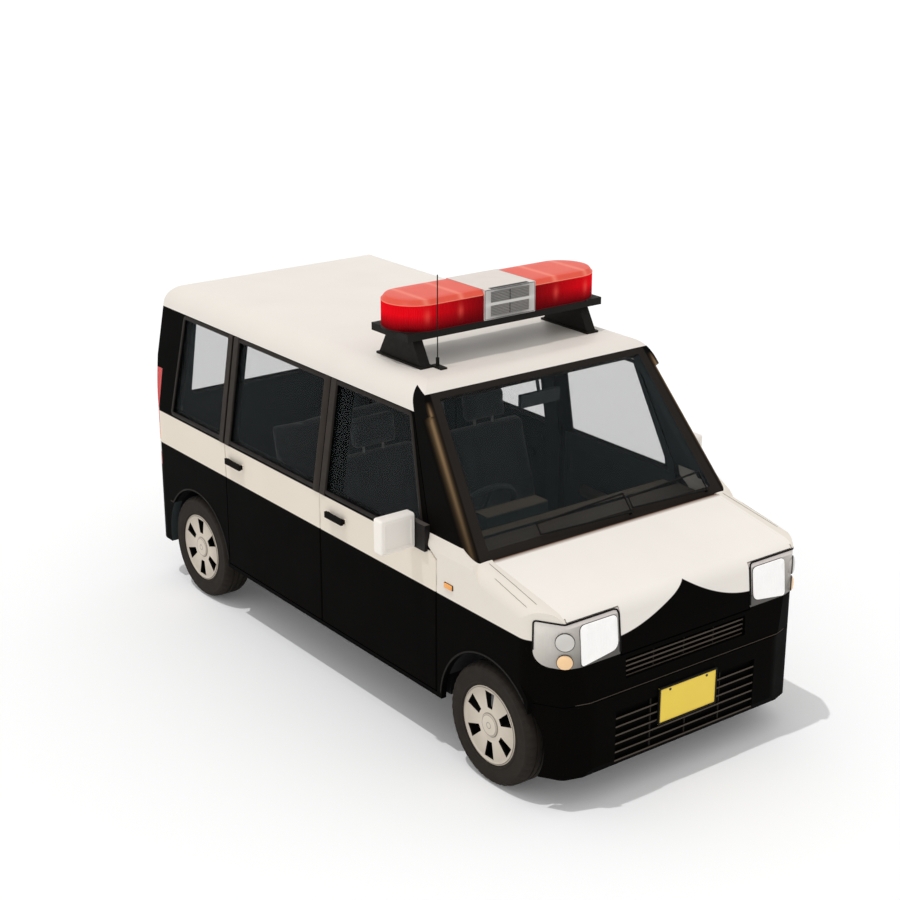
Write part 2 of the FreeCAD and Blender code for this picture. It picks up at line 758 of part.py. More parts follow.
def make_nose():
    end = v.nose_joint
    hollow = nose_block(v.skin, low=0)
    fender_prism = side_prism([
        (v.front_door_end + v.gap, v.sill_height), *fender_edge(),
        (v.screen_foot - 75, v.pillar_base_height), (v.screen_foot, v.screen_foot_height),
        (v.screen_foot + 60, 1000), (BIG, 1000), (BIG, v.lamp_high), (end, v.lamp_high),
        (end, v.sill_height)], -BIG, -v.bonnet_half)
    solid = CABIN.common(fender_prism).fuse(NOSE.common(fender_prism))
    solid = solid.cut(cabin_block(v.skin, v.roof_wall, low=0)).cut(hollow)
    both_sides("fender", solid.cut(arch(v.front_axle, v.arch_radius)))

    half = v.bonnet_half - v.gap
    rear = v.screen_foot + v.gap
    shell = NOSE.cut(nose_block(v.skin, low=0))
    wide = block((rear, BIG), (-half, half), (v.lamp_high + v.gap, BIG))
    narrow = block((rear, BIG), (-v.lamp_inner + v.gap, v.lamp_inner - v.gap), (v.lamp_low - 5, BIG))
    bonnet = shell.common(wide.fuse(narrow))
    x, z = bonnet_line()
    corner = block((x, x - 40), (-BIG, BIG), (z, z + 40))
    bonnet = bonnet.cut(corner.cut(across(v.hinge_round, x, z, -BIG, BIG)))
    for y in BONNET_HINGES:
        bonnet = bonnet.cut(block((rear - 1, x + v.hinge_barrel + 4), (y - 20, y + 20),
                                  (z - 40, z + v.hinge_barrel + 1.5)))
        bonnet = bonnet.fuse(across(v.hinge_pin, x, z, y - 22, y + 22))
    node("bonnet", bonnet)

    lamp_prism = side_prism([
        (end, v.lamp_high, 14), (end, v.lamp_low, v.lamp_round), (BIG, v.lamp_low),
        (BIG, v.lamp_high)], -BIG, -v.lamp_inner)
    lamp = NOSE.cut(nose_block(v.lamp_depth, low=0)).common(lamp_prism)
    node("headlamps", Part.makeCompound([lamp, mirrored(lamp)]))

    panel_prism = side_prism([(end, v.bumper_top + 3), (BIG, v.bumper_top + 3), (BIG, v.lamp_corner),
                              (end, v.lamp_corner)])
    panel = shell.common(panel_prism)
    for side in (lamp_prism, mirrored(lamp_prism)):
        panel = panel.cut(side)
    panel = panel.cut(block((rear, BIG), (-v.lamp_inner, v.lamp_inner), (v.lamp_low - 5 - v.gap, BIG)))
    panel = panel.cut(arch(v.front_axle, v.arch_radius))
    grille_depth = (v.front_face - v.skin - 20, BIG)
    opening = block(grille_depth, (-v.upper_grille_half, v.upper_grille_half),
                    (v.upper_grille_low, v.upper_grille_high))
    ribs = grille_ribs(v.upper_grille_half, v.upper_grille_low, v.upper_grille_high, 5, v.nose_face - 8)
    node("nose_panel", joined(panel.cut(opening), *ribs))

    thick = NOSE.cut(nose_block(v.bumper_wall, low=0))
    bumper_prism = side_prism([(v.front_axle + 150, v.bumper_low), (BIG, v.bumper_low),
                               (BIG, v.bumper_top), (v.front_axle + 150, v.bumper_top)])
    bumper = thick.common(bumper_prism).cut(arch(v.front_axle, v.arch_radius))
    bumper = bumper.cut(block((v.front_axle + 150, end), (-BIG, BIG), (v.sill_height, v.bumper_top + 10)))
    opening = block((v.front_face - 80, BIG), (-v.lower_grille_half, v.lower_grille_half),
                    (v.lower_grille_low, v.lower_grille_high))
    ribs = grille_ribs(v.lower_grille_half, v.lower_grille_low, v.lower_grille_high, 7, v.front_face - 4)
    node("bumper_front", joined(bumper.cut(opening), *ribs))


def grille_ribs(half, low, high, count, face):
    """Level ribs that span a grille opening, with an upright behind them."""
    pitch = (high - low) / (count - 1)
    ribs = []
    for index in range(count):
        z = low + index * pitch
        ribs.append(block((face - 22, face), (-half - 2, half + 2), (z - v.rib / 2, z + v.rib / 2)))
    ribs.append(block((face - 22, face - 14), (-half - 2, half + 2), (low - v.rib / 2, high + v.rib / 2)))
    return ribs


# Rear end

def make_rear():
    gate = CABIN_SHELL.common(tailgate_prism())
    opening = front_prism([(-v.rear_glass_half, v.rear_glass_low, 30), (v.rear_glass_half, v.rear_glass_low, 30),
                           (v.rear_glass_half - 45, v.rear_glass_high, 30),
                           (45 - v.rear_glass_half, v.rear_glass_high, 30)], -v.rear_face - 50, -v.rear_face + 170)
    x, z = gate_line()
    corner = block((x, x - 60), (-BIG, BIG), (z, z + 60))
    gate = gate.cut(opening).cut(corner.cut(across(v.gate_round, x, z, -BIG, BIG)))
    for y in GATE_HINGES:
        pocket = block((x - v.hinge_barrel - 3, x + 80), (y - 20, y + 20), (z - v.hinge_barrel - 3, z + 60))
        gate = gate.cut(pocket)
        gate = gate.fuse(across(v.hinge_pin, x, z, y - 22, y + 22))
    node("tailgate", gate)
    outer = cabin_block(v.glass_inset, low=v.shoulder_height - 40)
    inner = cabin_block(v.glass_inset + v.glass, low=0)
    node("tailgate_glass", outer.cut(inner).common(opening))
    lamp = CABIN_SHELL.common(rear_lamp_region())
    node("tail_lamps", Part.makeCompound([lamp, mirrored(lamp)]))
    bumper = CABIN.cut(cabin_block(45, low=0))
    band = (v.rear_bumper_low, v.tailgate_low - v.gap)
    bumper = bumper.common(block((-BIG, REAR_AXLE - 100), (-BIG, BIG), band))
    node("bumper_rear", bumper.cut(arch(REAR_AXLE, v.rear_arch_radius)))


# Floor, cabin fittings and underbody

def make_floor():
    low = v.floor_height - v.floor_wall
    tail = -v.rear_face + v.wall + v.gap
    inner = v.body_half - v.wall - 60
    pan = side_prism([
        (v.firewall, low), (v.firewall, v.bonnet_height - 40), (v.firewall - v.floor_wall, v.bonnet_height - 40),
        (v.firewall - v.floor_wall, v.floor_height), (v.load_step, v.floor_height),
        (v.load_step, v.load_floor), (tail, v.load_floor), (tail, v.load_floor - v.floor_wall),
        (v.load_step - v.floor_wall, v.load_floor - v.floor_wall), (v.load_step - v.floor_wall, low)],
        -inner, inner)
    house = v.rear_arch_radius + 8
    for side in (-1, 1):
        pan = pan.cut(across(house, REAR_AXLE, v.tyre_radius, side * (v.wheel_centre - 107.5), side * BIG))
    node("floor_pan", pan)
    span = (-v.bonnet_half, v.bonnet_half)
    low = v.shoulder_height - v.cowl_depth
    cowl = block((v.firewall, v.screen_foot), span, (low, v.shoulder_height))
    front = block((v.screen_foot - 16, v.screen_foot), span, (low, v.shoulder_height + v.cowl_lip))
    x, z = bonnet_line()
    arms = []
    half = v.hinge_length / 2
    for y in BONNET_HINGES:
        rear = v.screen_foot - 2
        arm = side_prism([(rear, low + 2), (x + v.hinge_barrel, low + 2), (x + v.hinge_barrel, z),
                          (x - v.hinge_barrel, z), (x - v.hinge_barrel, low + 12), (rear, low + 12)],
                         y - half, y + half)
        arm = arm.fuse(across(v.hinge_barrel, x, z, y - half, y + half))
        arms.append(arm.cut(across(v.hinge_pin + v.running_gap, x, z, y - half, y + half)))
    node("cowl", joined(cowl, front, *arms))


def seat(y, width, front, rear, high, lean):
    """Seat with a cushion and a leaning back, as one soft solid."""
    base = v.seat_base
    cushion = side_prism([(front, base, 20), (front, base + 150, 40), (rear - 20, base + 130, 10),
                          (rear - 20, base, 10)], y - width / 2, y + width / 2)
    back = side_prism([(rear - 15, base + 60, 20), (rear + 95, base + 60, 20), (rear + 70 - lean, high, 30),
                       (rear - 15 - lean, high, 30)], y - width / 2, y + width / 2)
    return joined(cushion, back)


def make_cabin():
    fronts = []
    for side in (-1, 1):
        y = side * v.seat_side
        body = seat(y, v.seat_width, v.seat_front, v.seat_rear, v.seat_high, v.seat_lean)
        back = v.seat_rear - v.seat_lean
        high = v.seat_high
        rest = side_prism([(back, high + 2, 20), (back + 80, high + 2, 20),
                           (back + 55, high + 170, 30), (back - 20, high + 170, 30)], y - 125, y + 125)
        posts = block((back + 15, back + 50), (y - 60, y + 60), (high - 20, high + 20))
        base = block((v.seat_rear + 60, v.seat_front - 60), (y - 180, y + 180), (v.floor_height, v.seat_base + 2))
        fronts.append(joined(body, rest.fuse(posts), base))
    node("front_seats", Part.makeCompound(fronts))
    bench = seat(0, 2 * v.bench_half, v.bench_front, v.bench_rear + 60, v.bench_high, v.bench_lean)
    legs = block((v.bench_rear + 120, v.bench_front - 60), (-v.bench_half + 60, v.bench_half - 60),
                 (v.floor_height, v.seat_base + 2))
    node("rear_bench", joined(bench, legs))
    back = v.firewall - v.floor_wall
    top = v.dash_top
    dash = side_prism([(back, top - 370, 20), (back, top), (v.dash_edge, top), (v.dash_edge - 50, top - 45, 30),
                       (v.dash_edge - 130, top - 90, 30), (v.dash_edge - 130, top - 170, 30),
                       (v.dash_edge - 90, top - 290, 40), (v.dash_edge - 60, top - 370, 20)],
                      -v.dash_half, v.dash_half)
    near = v.binnacle_width / 2
    middle = 45 - v.driver_side
    binnacle = side_prism([(v.dash_edge - 94, top - 70), (v.dash_edge, top - 5), (v.dash_edge, top + 55, 8),
                           (v.dash_edge - 94, top + 55, 8)], middle - near, middle + near)
    node("dashboard", joined(dash, binnacle))


def column_point(distance):
    """A point on the steering column, at a distance in front of the steering wheel's hub."""
    angle = math.radians(v.column_angle)
    return Vector(v.wheel_hub_x + distance * math.cos(angle), -v.driver_side,
                  v.wheel_hub_z - distance * math.sin(angle))


def make_steering():
    hub = column_point(0)
    axis = column_point(-1) - hub
    ring = []
    for index in range(8):
        angle = math.radians(22.5 + 45 * index)
        ring.append((v.steering_radius + v.grip_radius * math.cos(angle), v.grip_radius * math.sin(angle)))
    side = axis.cross(Vector(0, 1, 0))
    section = wire_through(ring, lambda p: hub + side * p.x + axis * p.y)
    rim = Part.Face(section).revolve(hub, axis, 360)
    boss = Part.makeCylinder(42, 34, hub - axis * 34, axis)
    shaft = rod(column_point(30), column_point(75), v.shaft_radius)
    spokes = []
    for angle in (180, 0, 270):
        turn = math.radians(angle)
        across_y = Vector(0, 1, 0)
        up = axis.cross(across_y)
        tip = across_y * math.cos(turn) + up * math.sin(turn)
        spokes.append(rod(hub + tip * 30 - axis * 12, hub + tip * v.steering_radius, 10))
    node("steering_wheel", joined(rim, boss, shaft, *spokes))
    column = rod(column_point(40), column_point(125), 22)
    column = column.cut(rod(column_point(39), column_point(80), v.shaft_radius + v.running_gap))
    node("steering_column", column.cut(doc.getObject("dashboard").Shape))


def make_underbody():
    rail = v.rail_side - v.rail_width / 2
    engine = bind(doc.addObject("Part::Box", "engine_block"), Length="engine_length",
                  Width="2 * rail_side - rail_width", Height="engine_high - engine_low",
                  Placement__Base__x="front_axle - 95", Placement__Base__y="rail_width / 2 - rail_side",
                  Placement__Base__z="engine_low")
    PARTS.append(engine)
    tank = bind(doc.addObject("Part::Box", "fuel_tank"), Length="560", Width="370", Height="tank_depth",
                Placement__Base__x="-650", Placement__Base__y="-250",
                Placement__Base__z="floor_height - floor_wall - tank_depth")
    PARTS.append(tank)
    under = v.load_floor - v.floor_wall
    hub = v.wheel_centre - 62.5
    spring = v.wheel_centre - 222.5
    beam = across(v.axle_beam_radius, REAR_AXLE, v.tyre_radius, 30 - hub, hub - 30)
    pieces = [beam]
    for side in (-1, 1):
        arm = side * spring
        coil = side * (spring - 40)
        pieces.append(across(58, REAR_AXLE, v.tyre_radius, side * (hub - 30), side * (hub + 10)))
        pieces.append(across(v.spindle_radius, REAR_AXLE, v.tyre_radius, side * hub, side * (hub + 100)))
        pieces.append(block((REAR_AXLE, REAR_AXLE + 390), (arm - 22, arm + 22), (246, 286)))
        pieces.append(block((REAR_AXLE + 330, REAR_AXLE + 390), (arm - 30, arm + 30), (246, under)))
        pieces.append(rod(Vector(REAR_AXLE, coil, v.tyre_radius), Vector(REAR_AXLE, coil, under), 42))
    node("rear_axle", joined(*pieces))
    cross_x = (v.front_axle - 190, v.front_axle - 110)
    crash_beam = block((v.front_face - 90, v.front_face - 38), (-520, 520), (300, 440))
    pieces = [block(cross_x, (-400, 400), (190, 250)), crash_beam]
    for side in (-1, 1):
        span = (side * v.rail_side - v.rail_width / 2, side * v.rail_side + v.rail_width / 2)
        pieces.append(block((v.firewall, v.front_face - 40), span, (300, 370)))
        pieces.append(block(cross_x, span, (250, 300)))
        tower = (v.front_axle - 30, v.front_axle + 30)
        inner = side * (v.rail_side - v.rail_width / 2)
        pieces.append(block(tower, (inner, side * (v.rail_side + 15)), (370, v.tower_height + 16)))
        plate = block(tower, (inner, side * (v.kingpin_top + 35)), (v.tower_height, v.tower_height + 16))
        bore = rod(kingpin(side, v.tower_height - 20), kingpin(side, v.tower_height + 40),
                   v.ball_radius + v.running_gap)
        pieces.append(plate.cut(bore))
        pieces.append(side_arm(side))
    node("front_subframe", joined(*pieces))
    y = 240
    low = 200
    bend = Vector(980, y, low)
    rise = Vector(980, y, 330)
    pipe = joined(rod(bend, Vector(-1320, y, low), 24), rod(bend, rise, 24), Part.makeSphere(24, bend),
                  Part.makeSphere(24, rise), rod(rise, Vector(v.front_axle - 95, y, 330), 24),
                  block((-1560, -1290), (80, 400), (165, 290)),
                  rod(Vector(-1500, y, 186), Vector(-1612, y, 186), 18),
                  block((300, 316), (y - 14, y + 14), (210, v.floor_height - v.floor_wall)),
                  block((-1430, -1414), (y - 14, y + 14), (280, under)))
    node("exhaust", pipe)


def side_arm(side):
    """Lower arm from the cross member to the eye that holds the knuckle's ball pin."""
    eye_high = v.kingpin_low_height - 7
    eye_low = v.kingpin_low_height - 23
    eye = rod(kingpin(side, eye_low), kingpin(side, eye_high), 17)
    arm = rod(Vector(v.front_axle - 150, side * 390, 222),
              kingpin(side, v.kingpin_low_height - 15) + Vector(-12, -8 * side, 0), 8)
    bore = rod(kingpin(side, eye_low - 10), kingpin(side, eye_high + 10), v.ball_radius + v.running_gap)
    return arm.fuse(eye).cut(bore)


# Wheels and knuckles

def kingpin(side, height):
    """A point on the steering axis of one side."""
    share = (height - v.kingpin_low_height) / (v.kingpin_top_height - v.kingpin_low_height)
    y = v.kingpin_low + share * (v.kingpin_top - v.kingpin_low)
    return Vector(v.front_axle, side * y, height)


def make_knuckle(side):
    """Upright on the steering axis, with the strut, its bracket and the wheel's spindle."""
    foot = Vector(v.front_axle, side * (v.strut_foot - 2), v.strut_foot_height)
    hub_face = v.wheel_centre + v.tyre_width / 2 - v.hub_depth
    upright = rod(kingpin(side, v.kingpin_low_height), kingpin(side, 380), 17)
    strut = rod(foot, kingpin(side, v.kingpin_top_height), v.strut_radius)
    top_pin = rod(kingpin(side, v.kingpin_top_height - 20), kingpin(side, v.tower_height + 24), v.ball_radius)
    low = v.kingpin_low_height
    ball_pin = rod(kingpin(side, low + 10), kingpin(side, low - 28), v.ball_radius)
    span = (side * (v.strut_foot - 22), side * (v.strut_foot + 52))
    bracket = block((v.front_axle - 20, v.front_axle + 20), span,
                    (v.strut_foot_height - 10, v.strut_foot_height + 40))
    knuckle_inner = v.wheel_centre - 77.5
    stub = across(34, v.front_axle, v.tyre_radius, side * knuckle_inner, side * (hub_face - 1))
    spindle = across(v.spindle_radius, v.front_axle, v.tyre_radius, side * (knuckle_inner + 25),
                     side * (knuckle_inner + 115))
    return joined(upright, strut, bracket, stub, spindle, top_pin, ball_pin)


def make_wheels():
    half = v.tyre_width / 2
    shoulder = v.tyre_shoulder
    for place, x in (("front", v.front_axle), ("rear", REAR_AXLE)):
        for name, side in (("right", -1), ("left", 1)):
            label = place + "_" + name
            outer = v.wheel_centre + half
            inner = v.wheel_centre - half
            tyre_wire = wire_through([
                (v.rim_radius, inner + v.tyre_bead), (v.tyre_waist, inner),
                (v.tyre_radius - v.tyre_crown, inner + v.tyre_bead), (v.tyre_radius, inner + shoulder),
                (v.tyre_radius, outer - shoulder), (v.tyre_radius - v.tyre_crown, outer - v.tyre_bead),
                (v.tyre_waist, outer), (v.rim_radius, outer - v.tyre_bead)],
                lambda p: Vector(x, side * p.y, v.tyre_radius + p.x))
            axis = Vector(0, 1, 0)
            centre = Vector(x, 0, v.tyre_radius)
            rim_inside = v.rim_radius - v.rim_wall - 2
            node("tyre_" + label, Part.Face(tyre_wire).revolve(centre, axis, 360))
            rim_wire = wire_through([
                (v.spindle_radius + v.running_gap, outer - v.hub_depth), (v.hub_radius, outer - v.hub_depth),
                (v.hub_radius, outer - v.cover_back - 8), (rim_inside, outer - v.cover_back),
                (rim_inside, inner + 10), (v.rim_radius, inner + 6), (v.rim_radius, outer - 6),
                (v.rim_radius - 7, outer - 2), (v.rim_radius - 13, outer - v.cover_dish),
                (v.hub_radius + 4, outer - v.cover_dish - 3), (v.hub_radius, outer - 5), (0, outer - 3),
                (0, outer - v.cap_back), (v.spindle_radius + v.running_gap, outer - v.cap_back)],
                lambda p: Vector(x, side * p.y, v.tyre_radius + p.x))
            rim = Part.Face(rim_wire).revolve(centre, axis, 360)
            low = v.tyre_radius + v.slot_low
            high = v.tyre_radius + v.slot_high
            slot = side_prism([(x - v.slot_low_half, low), (x + v.slot_low_half, low),
                               (x + v.slot_high_half, high), (x - v.slot_high_half, high)])
            slots = []
            for index in range(int(v.slot_count)):
                turned = slot.copy()
                turned.rotate(centre, axis, index * 360 / v.slot_count)
                slots.append(turned)
            node("wheel_" + label, rim.cut(Part.makeCompound(slots)))
    for name, side in (("right", -1), ("left", 1)):
        node("knuckle_" + name, make_knuckle(side))


# Roof light bar, aerial, wipers, plates and the inside mirror

def make_light_bar():
    base = block((v.bar_rear, v.bar_front), (-v.bar_half, v.bar_half), (v.bar_low, v.bar_high))
    feet = []
    for side in (-1, 1):
        inner = side * v.foot_inner
        outer = side * v.foot_outer
        plate_top = v.roof_height + v.foot_plate
        feet.append(block((v.foot_rear, v.foot_front), (inner, outer), (v.roof_height, plate_top)))
        web = side_prism([(v.foot_rear + 12, plate_top), (v.foot_front - 12, plate_top),
                          (v.foot_front - 75, v.bar_low), (v.foot_rear + 75, v.bar_low)],
                         min(inner, outer) + 8, max(inner, outer) - 8)
        feet.append(web)
    node("light_bar_base", joined(base, *feet))
    radius = (v.bar_front - v.bar_rear) / 2 + v.dome_overhang
    middle = (v.bar_front + v.bar_rear) / 2
    domes = []
    for side in (-1, 1):
        end = side * (v.dome_half - radius)
        round_end = Part.makeCylinder(radius, v.dome_high - v.bar_high, Vector(middle, end, v.bar_high))
        run = block((middle - radius, middle + radius), (side * v.centre_half, end), (v.bar_high, v.dome_high))
        domes.append(joined(round_end, run))
    node("light_bar_domes", Part.makeCompound(domes))
    centre = block((v.bar_rear, v.bar_front + 12), (-v.centre_half, v.centre_half), (v.bar_high, v.dome_high))
    row = (v.dome_rise - 3 * v.louvre_edge) / 2
    for low in (v.bar_high + v.louvre_edge, v.bar_high + 2 * v.louvre_edge + row):
        centre = centre.cut(block((v.bar_front + 12 - v.louvre_depth, BIG), (-v.louvre_half, v.louvre_half),
                                  (low, low + row)))
    node("light_bar_centre", centre)
    plate = block((v.foot_front - 20, v.foot_front + 56), (-v.foot_inner, -v.foot_inner + 34),
                  (v.roof_height, v.roof_height + 8))
    socket = Part.makeCylinder(8, 36, Vector(461.5, -v.foot_inner + 15, v.roof_height + 8))
    mast = Part.makeCylinder(2.5, 365, Vector(461.5, -v.foot_inner + 15, v.roof_height + 44))
    node("aerial", joined(plate, socket, mast))


def make_trim():
    for label, place in (("plate_front", "front_face"), ("plate_rear", "-rear_face - plate_thick")):
        low = "front_plate_low" if label == "plate_front" else "rear_plate_low"
        plate = bind(doc.addObject("Part::Box", label), Length="plate_thick", Width="plate_width",
                     Height="plate_height", Placement__Base__x=place, Placement__Base__y="-plate_width / 2",
                     Placement__Base__z=low)
        PARTS.append(plate)
    mirror_x = v.mirror_place
    stalk = rod(Vector(mirror_x - 3, 0, v.mirror_low + 50), Vector(mirror_x - 44, 0, v.roof_height), 8)
    glass = block((mirror_x - 12, mirror_x + 10), (-110, 110), (v.mirror_low, v.mirror_low + 58))
    stalk = stalk.common(cabin_block(v.frame_depth, v.roof_wall, low=0))
    node("inside_mirror", joined(stalk, glass))
    pair = [wiper(v.wiper_start, v.wiper_middle), wiper(v.wiper_middle + 16, v.wiper_end)]
    node("wipers", Part.makeCompound(pair))


def on_screen(y, rise, out):
    """A point at a height above the windscreen's foot, lifted off its outer face."""
    z = v.screen_foot_height + rise
    slant = math.hypot(1, v.screen_rake)
    return Vector(screen_x(z), y, z) + Vector(1, 0, v.screen_rake) * (out / slant)


def wiper(start, end):
    """Wiper parked along the foot of the windscreen: pivot pin, arm, two links and blade."""
    pivot = on_screen(end, 20, 14)
    elbow = on_screen(start, 34, 14)
    near = on_screen(end + 4, 92, 3.5)
    far = on_screen(start + 8, 74, 3.5)
    pin = rod(on_screen(end, 20, 0), on_screen(end, 20, 19), 8)
    return joined(pin, rod(pivot, elbow, 4), rod(elbow, far, 3.5), rod(pivot, near, 3.5), rod(far, near, 4.5),
                  Part.makeSphere(4, elbow), Part.makeSphere(4.5, far), Part.makeSphere(4.5, near))


make_screen()
make_roof()
make_side_frames()
make_doors()
make_nose()
make_rear()
make_floor()
make_cabin()
make_steering()
make_underbody()
make_wheels()
make_light_bar()
make_trim()


# Check every object, then write one STEP file for each sub-part

doc.recompute()
for thing in doc.Objects:
    if "Invalid" in thing.State or "Error" in thing.State:
        raise SystemExit("object %s failed: %s" % (thing.Label, thing.State))
for part in PARTS:
    if part.Shape.isNull() or not part.Shape.isValid():
        raise SystemExit("sub-part %s has no valid shape" % part.Label)
os.makedirs("parts", exist_ok=True)
for part in PARTS:
    part.Shape.exportStep("parts/%s.step" % part.Label)
    box = part.Shape.BoundBox
    print("%-20s solids %d  volume %.0f cm3  x %.0f..%.0f y %.0f..%.0f z %.0f..%.0f" % (
        part.Label, len(part.Shape.Solids), part.Shape.Volume / 1000, box.XMin, box.XMax, box.YMin, box.YMax,
        box.ZMin, box.ZMax))
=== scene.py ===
"""Looks of the police patrol car: paint, glass, lamps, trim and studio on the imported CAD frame.

Metres, in the CAD frame: +X forward, +Y to the car's left, +Z up, ground at z = 0.
"""
import math

import bmesh
import bpy
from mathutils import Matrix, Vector
from mathutils.bvhtree import BVHTree


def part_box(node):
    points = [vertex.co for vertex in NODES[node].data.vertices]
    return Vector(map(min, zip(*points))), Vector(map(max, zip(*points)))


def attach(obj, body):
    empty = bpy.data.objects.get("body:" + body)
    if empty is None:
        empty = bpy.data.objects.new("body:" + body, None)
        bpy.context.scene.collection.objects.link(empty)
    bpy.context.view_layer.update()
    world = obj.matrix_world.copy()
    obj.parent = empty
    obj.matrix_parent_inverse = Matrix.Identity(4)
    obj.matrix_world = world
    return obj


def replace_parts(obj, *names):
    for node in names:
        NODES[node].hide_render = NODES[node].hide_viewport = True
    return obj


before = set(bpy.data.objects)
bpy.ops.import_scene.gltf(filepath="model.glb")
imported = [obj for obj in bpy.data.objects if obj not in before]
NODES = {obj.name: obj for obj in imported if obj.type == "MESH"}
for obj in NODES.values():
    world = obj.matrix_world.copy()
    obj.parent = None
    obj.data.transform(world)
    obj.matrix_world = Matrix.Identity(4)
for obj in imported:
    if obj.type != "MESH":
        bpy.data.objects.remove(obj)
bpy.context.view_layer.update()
SIDES = {"right": -1, "left": 1}
UP = Vector((0, 0, 1))

# Lengths that the livery and the trim share with the CAD model
BODY_HALF = 0.7375
SHOULDER = 0.930
LEAN = 0.154
GLASS_LOW = 0.945
GLASS_HIGH = 1.440
FRONT_AXLE = 1.2155
REAR_AXLE = -1.1905
AXLE_HIGH = 0.266
WHEEL_CENTRE = 0.6525
SPEAKER_HALF = 0.1085
LAMP_TOP = 0.8375

# Where colours change: heights of the white band and of the domes, and the border on the nose
BAND_LOW = 0.748
BAND_HIGH = 0.920
NOSE_LINE = 0.720
NOSE_PEAK = 0.140
NOSE_SPREAD = 0.390
DOME_RIM = 1.8435
DOME_TOP = 1.8475

# Colours as they look in plain light, sRGB 0 to 255; the tail lamps' zones with the height each starts at
WHITE = (238, 231, 222)
BAND_WHITE = (238, 228, 213)
FENDER_WHITE = (238, 230, 218)
NOSE_WHITE = (248, 242, 234)
BLACK = (10, 9, 8)
FRAME_BLACK = (42, 38, 35)
LINING = (58, 64, 66)
PLATE_YELLOW = (250, 218, 84)
TAIL_ZONES = ((0.69, (232, 230, 226)), (0.76, (250, 138, 52)), (0.85, (214, 30, 26)))


# Materials

def linear(colour):
    """Scene colour of an sRGB one."""
    parts = [c / 255 for c in colour]
    return tuple(p / 12.92 if p <= 0.04045 else ((p + 0.055) / 1.055) ** 2.4 for p in parts) + (1.0,)


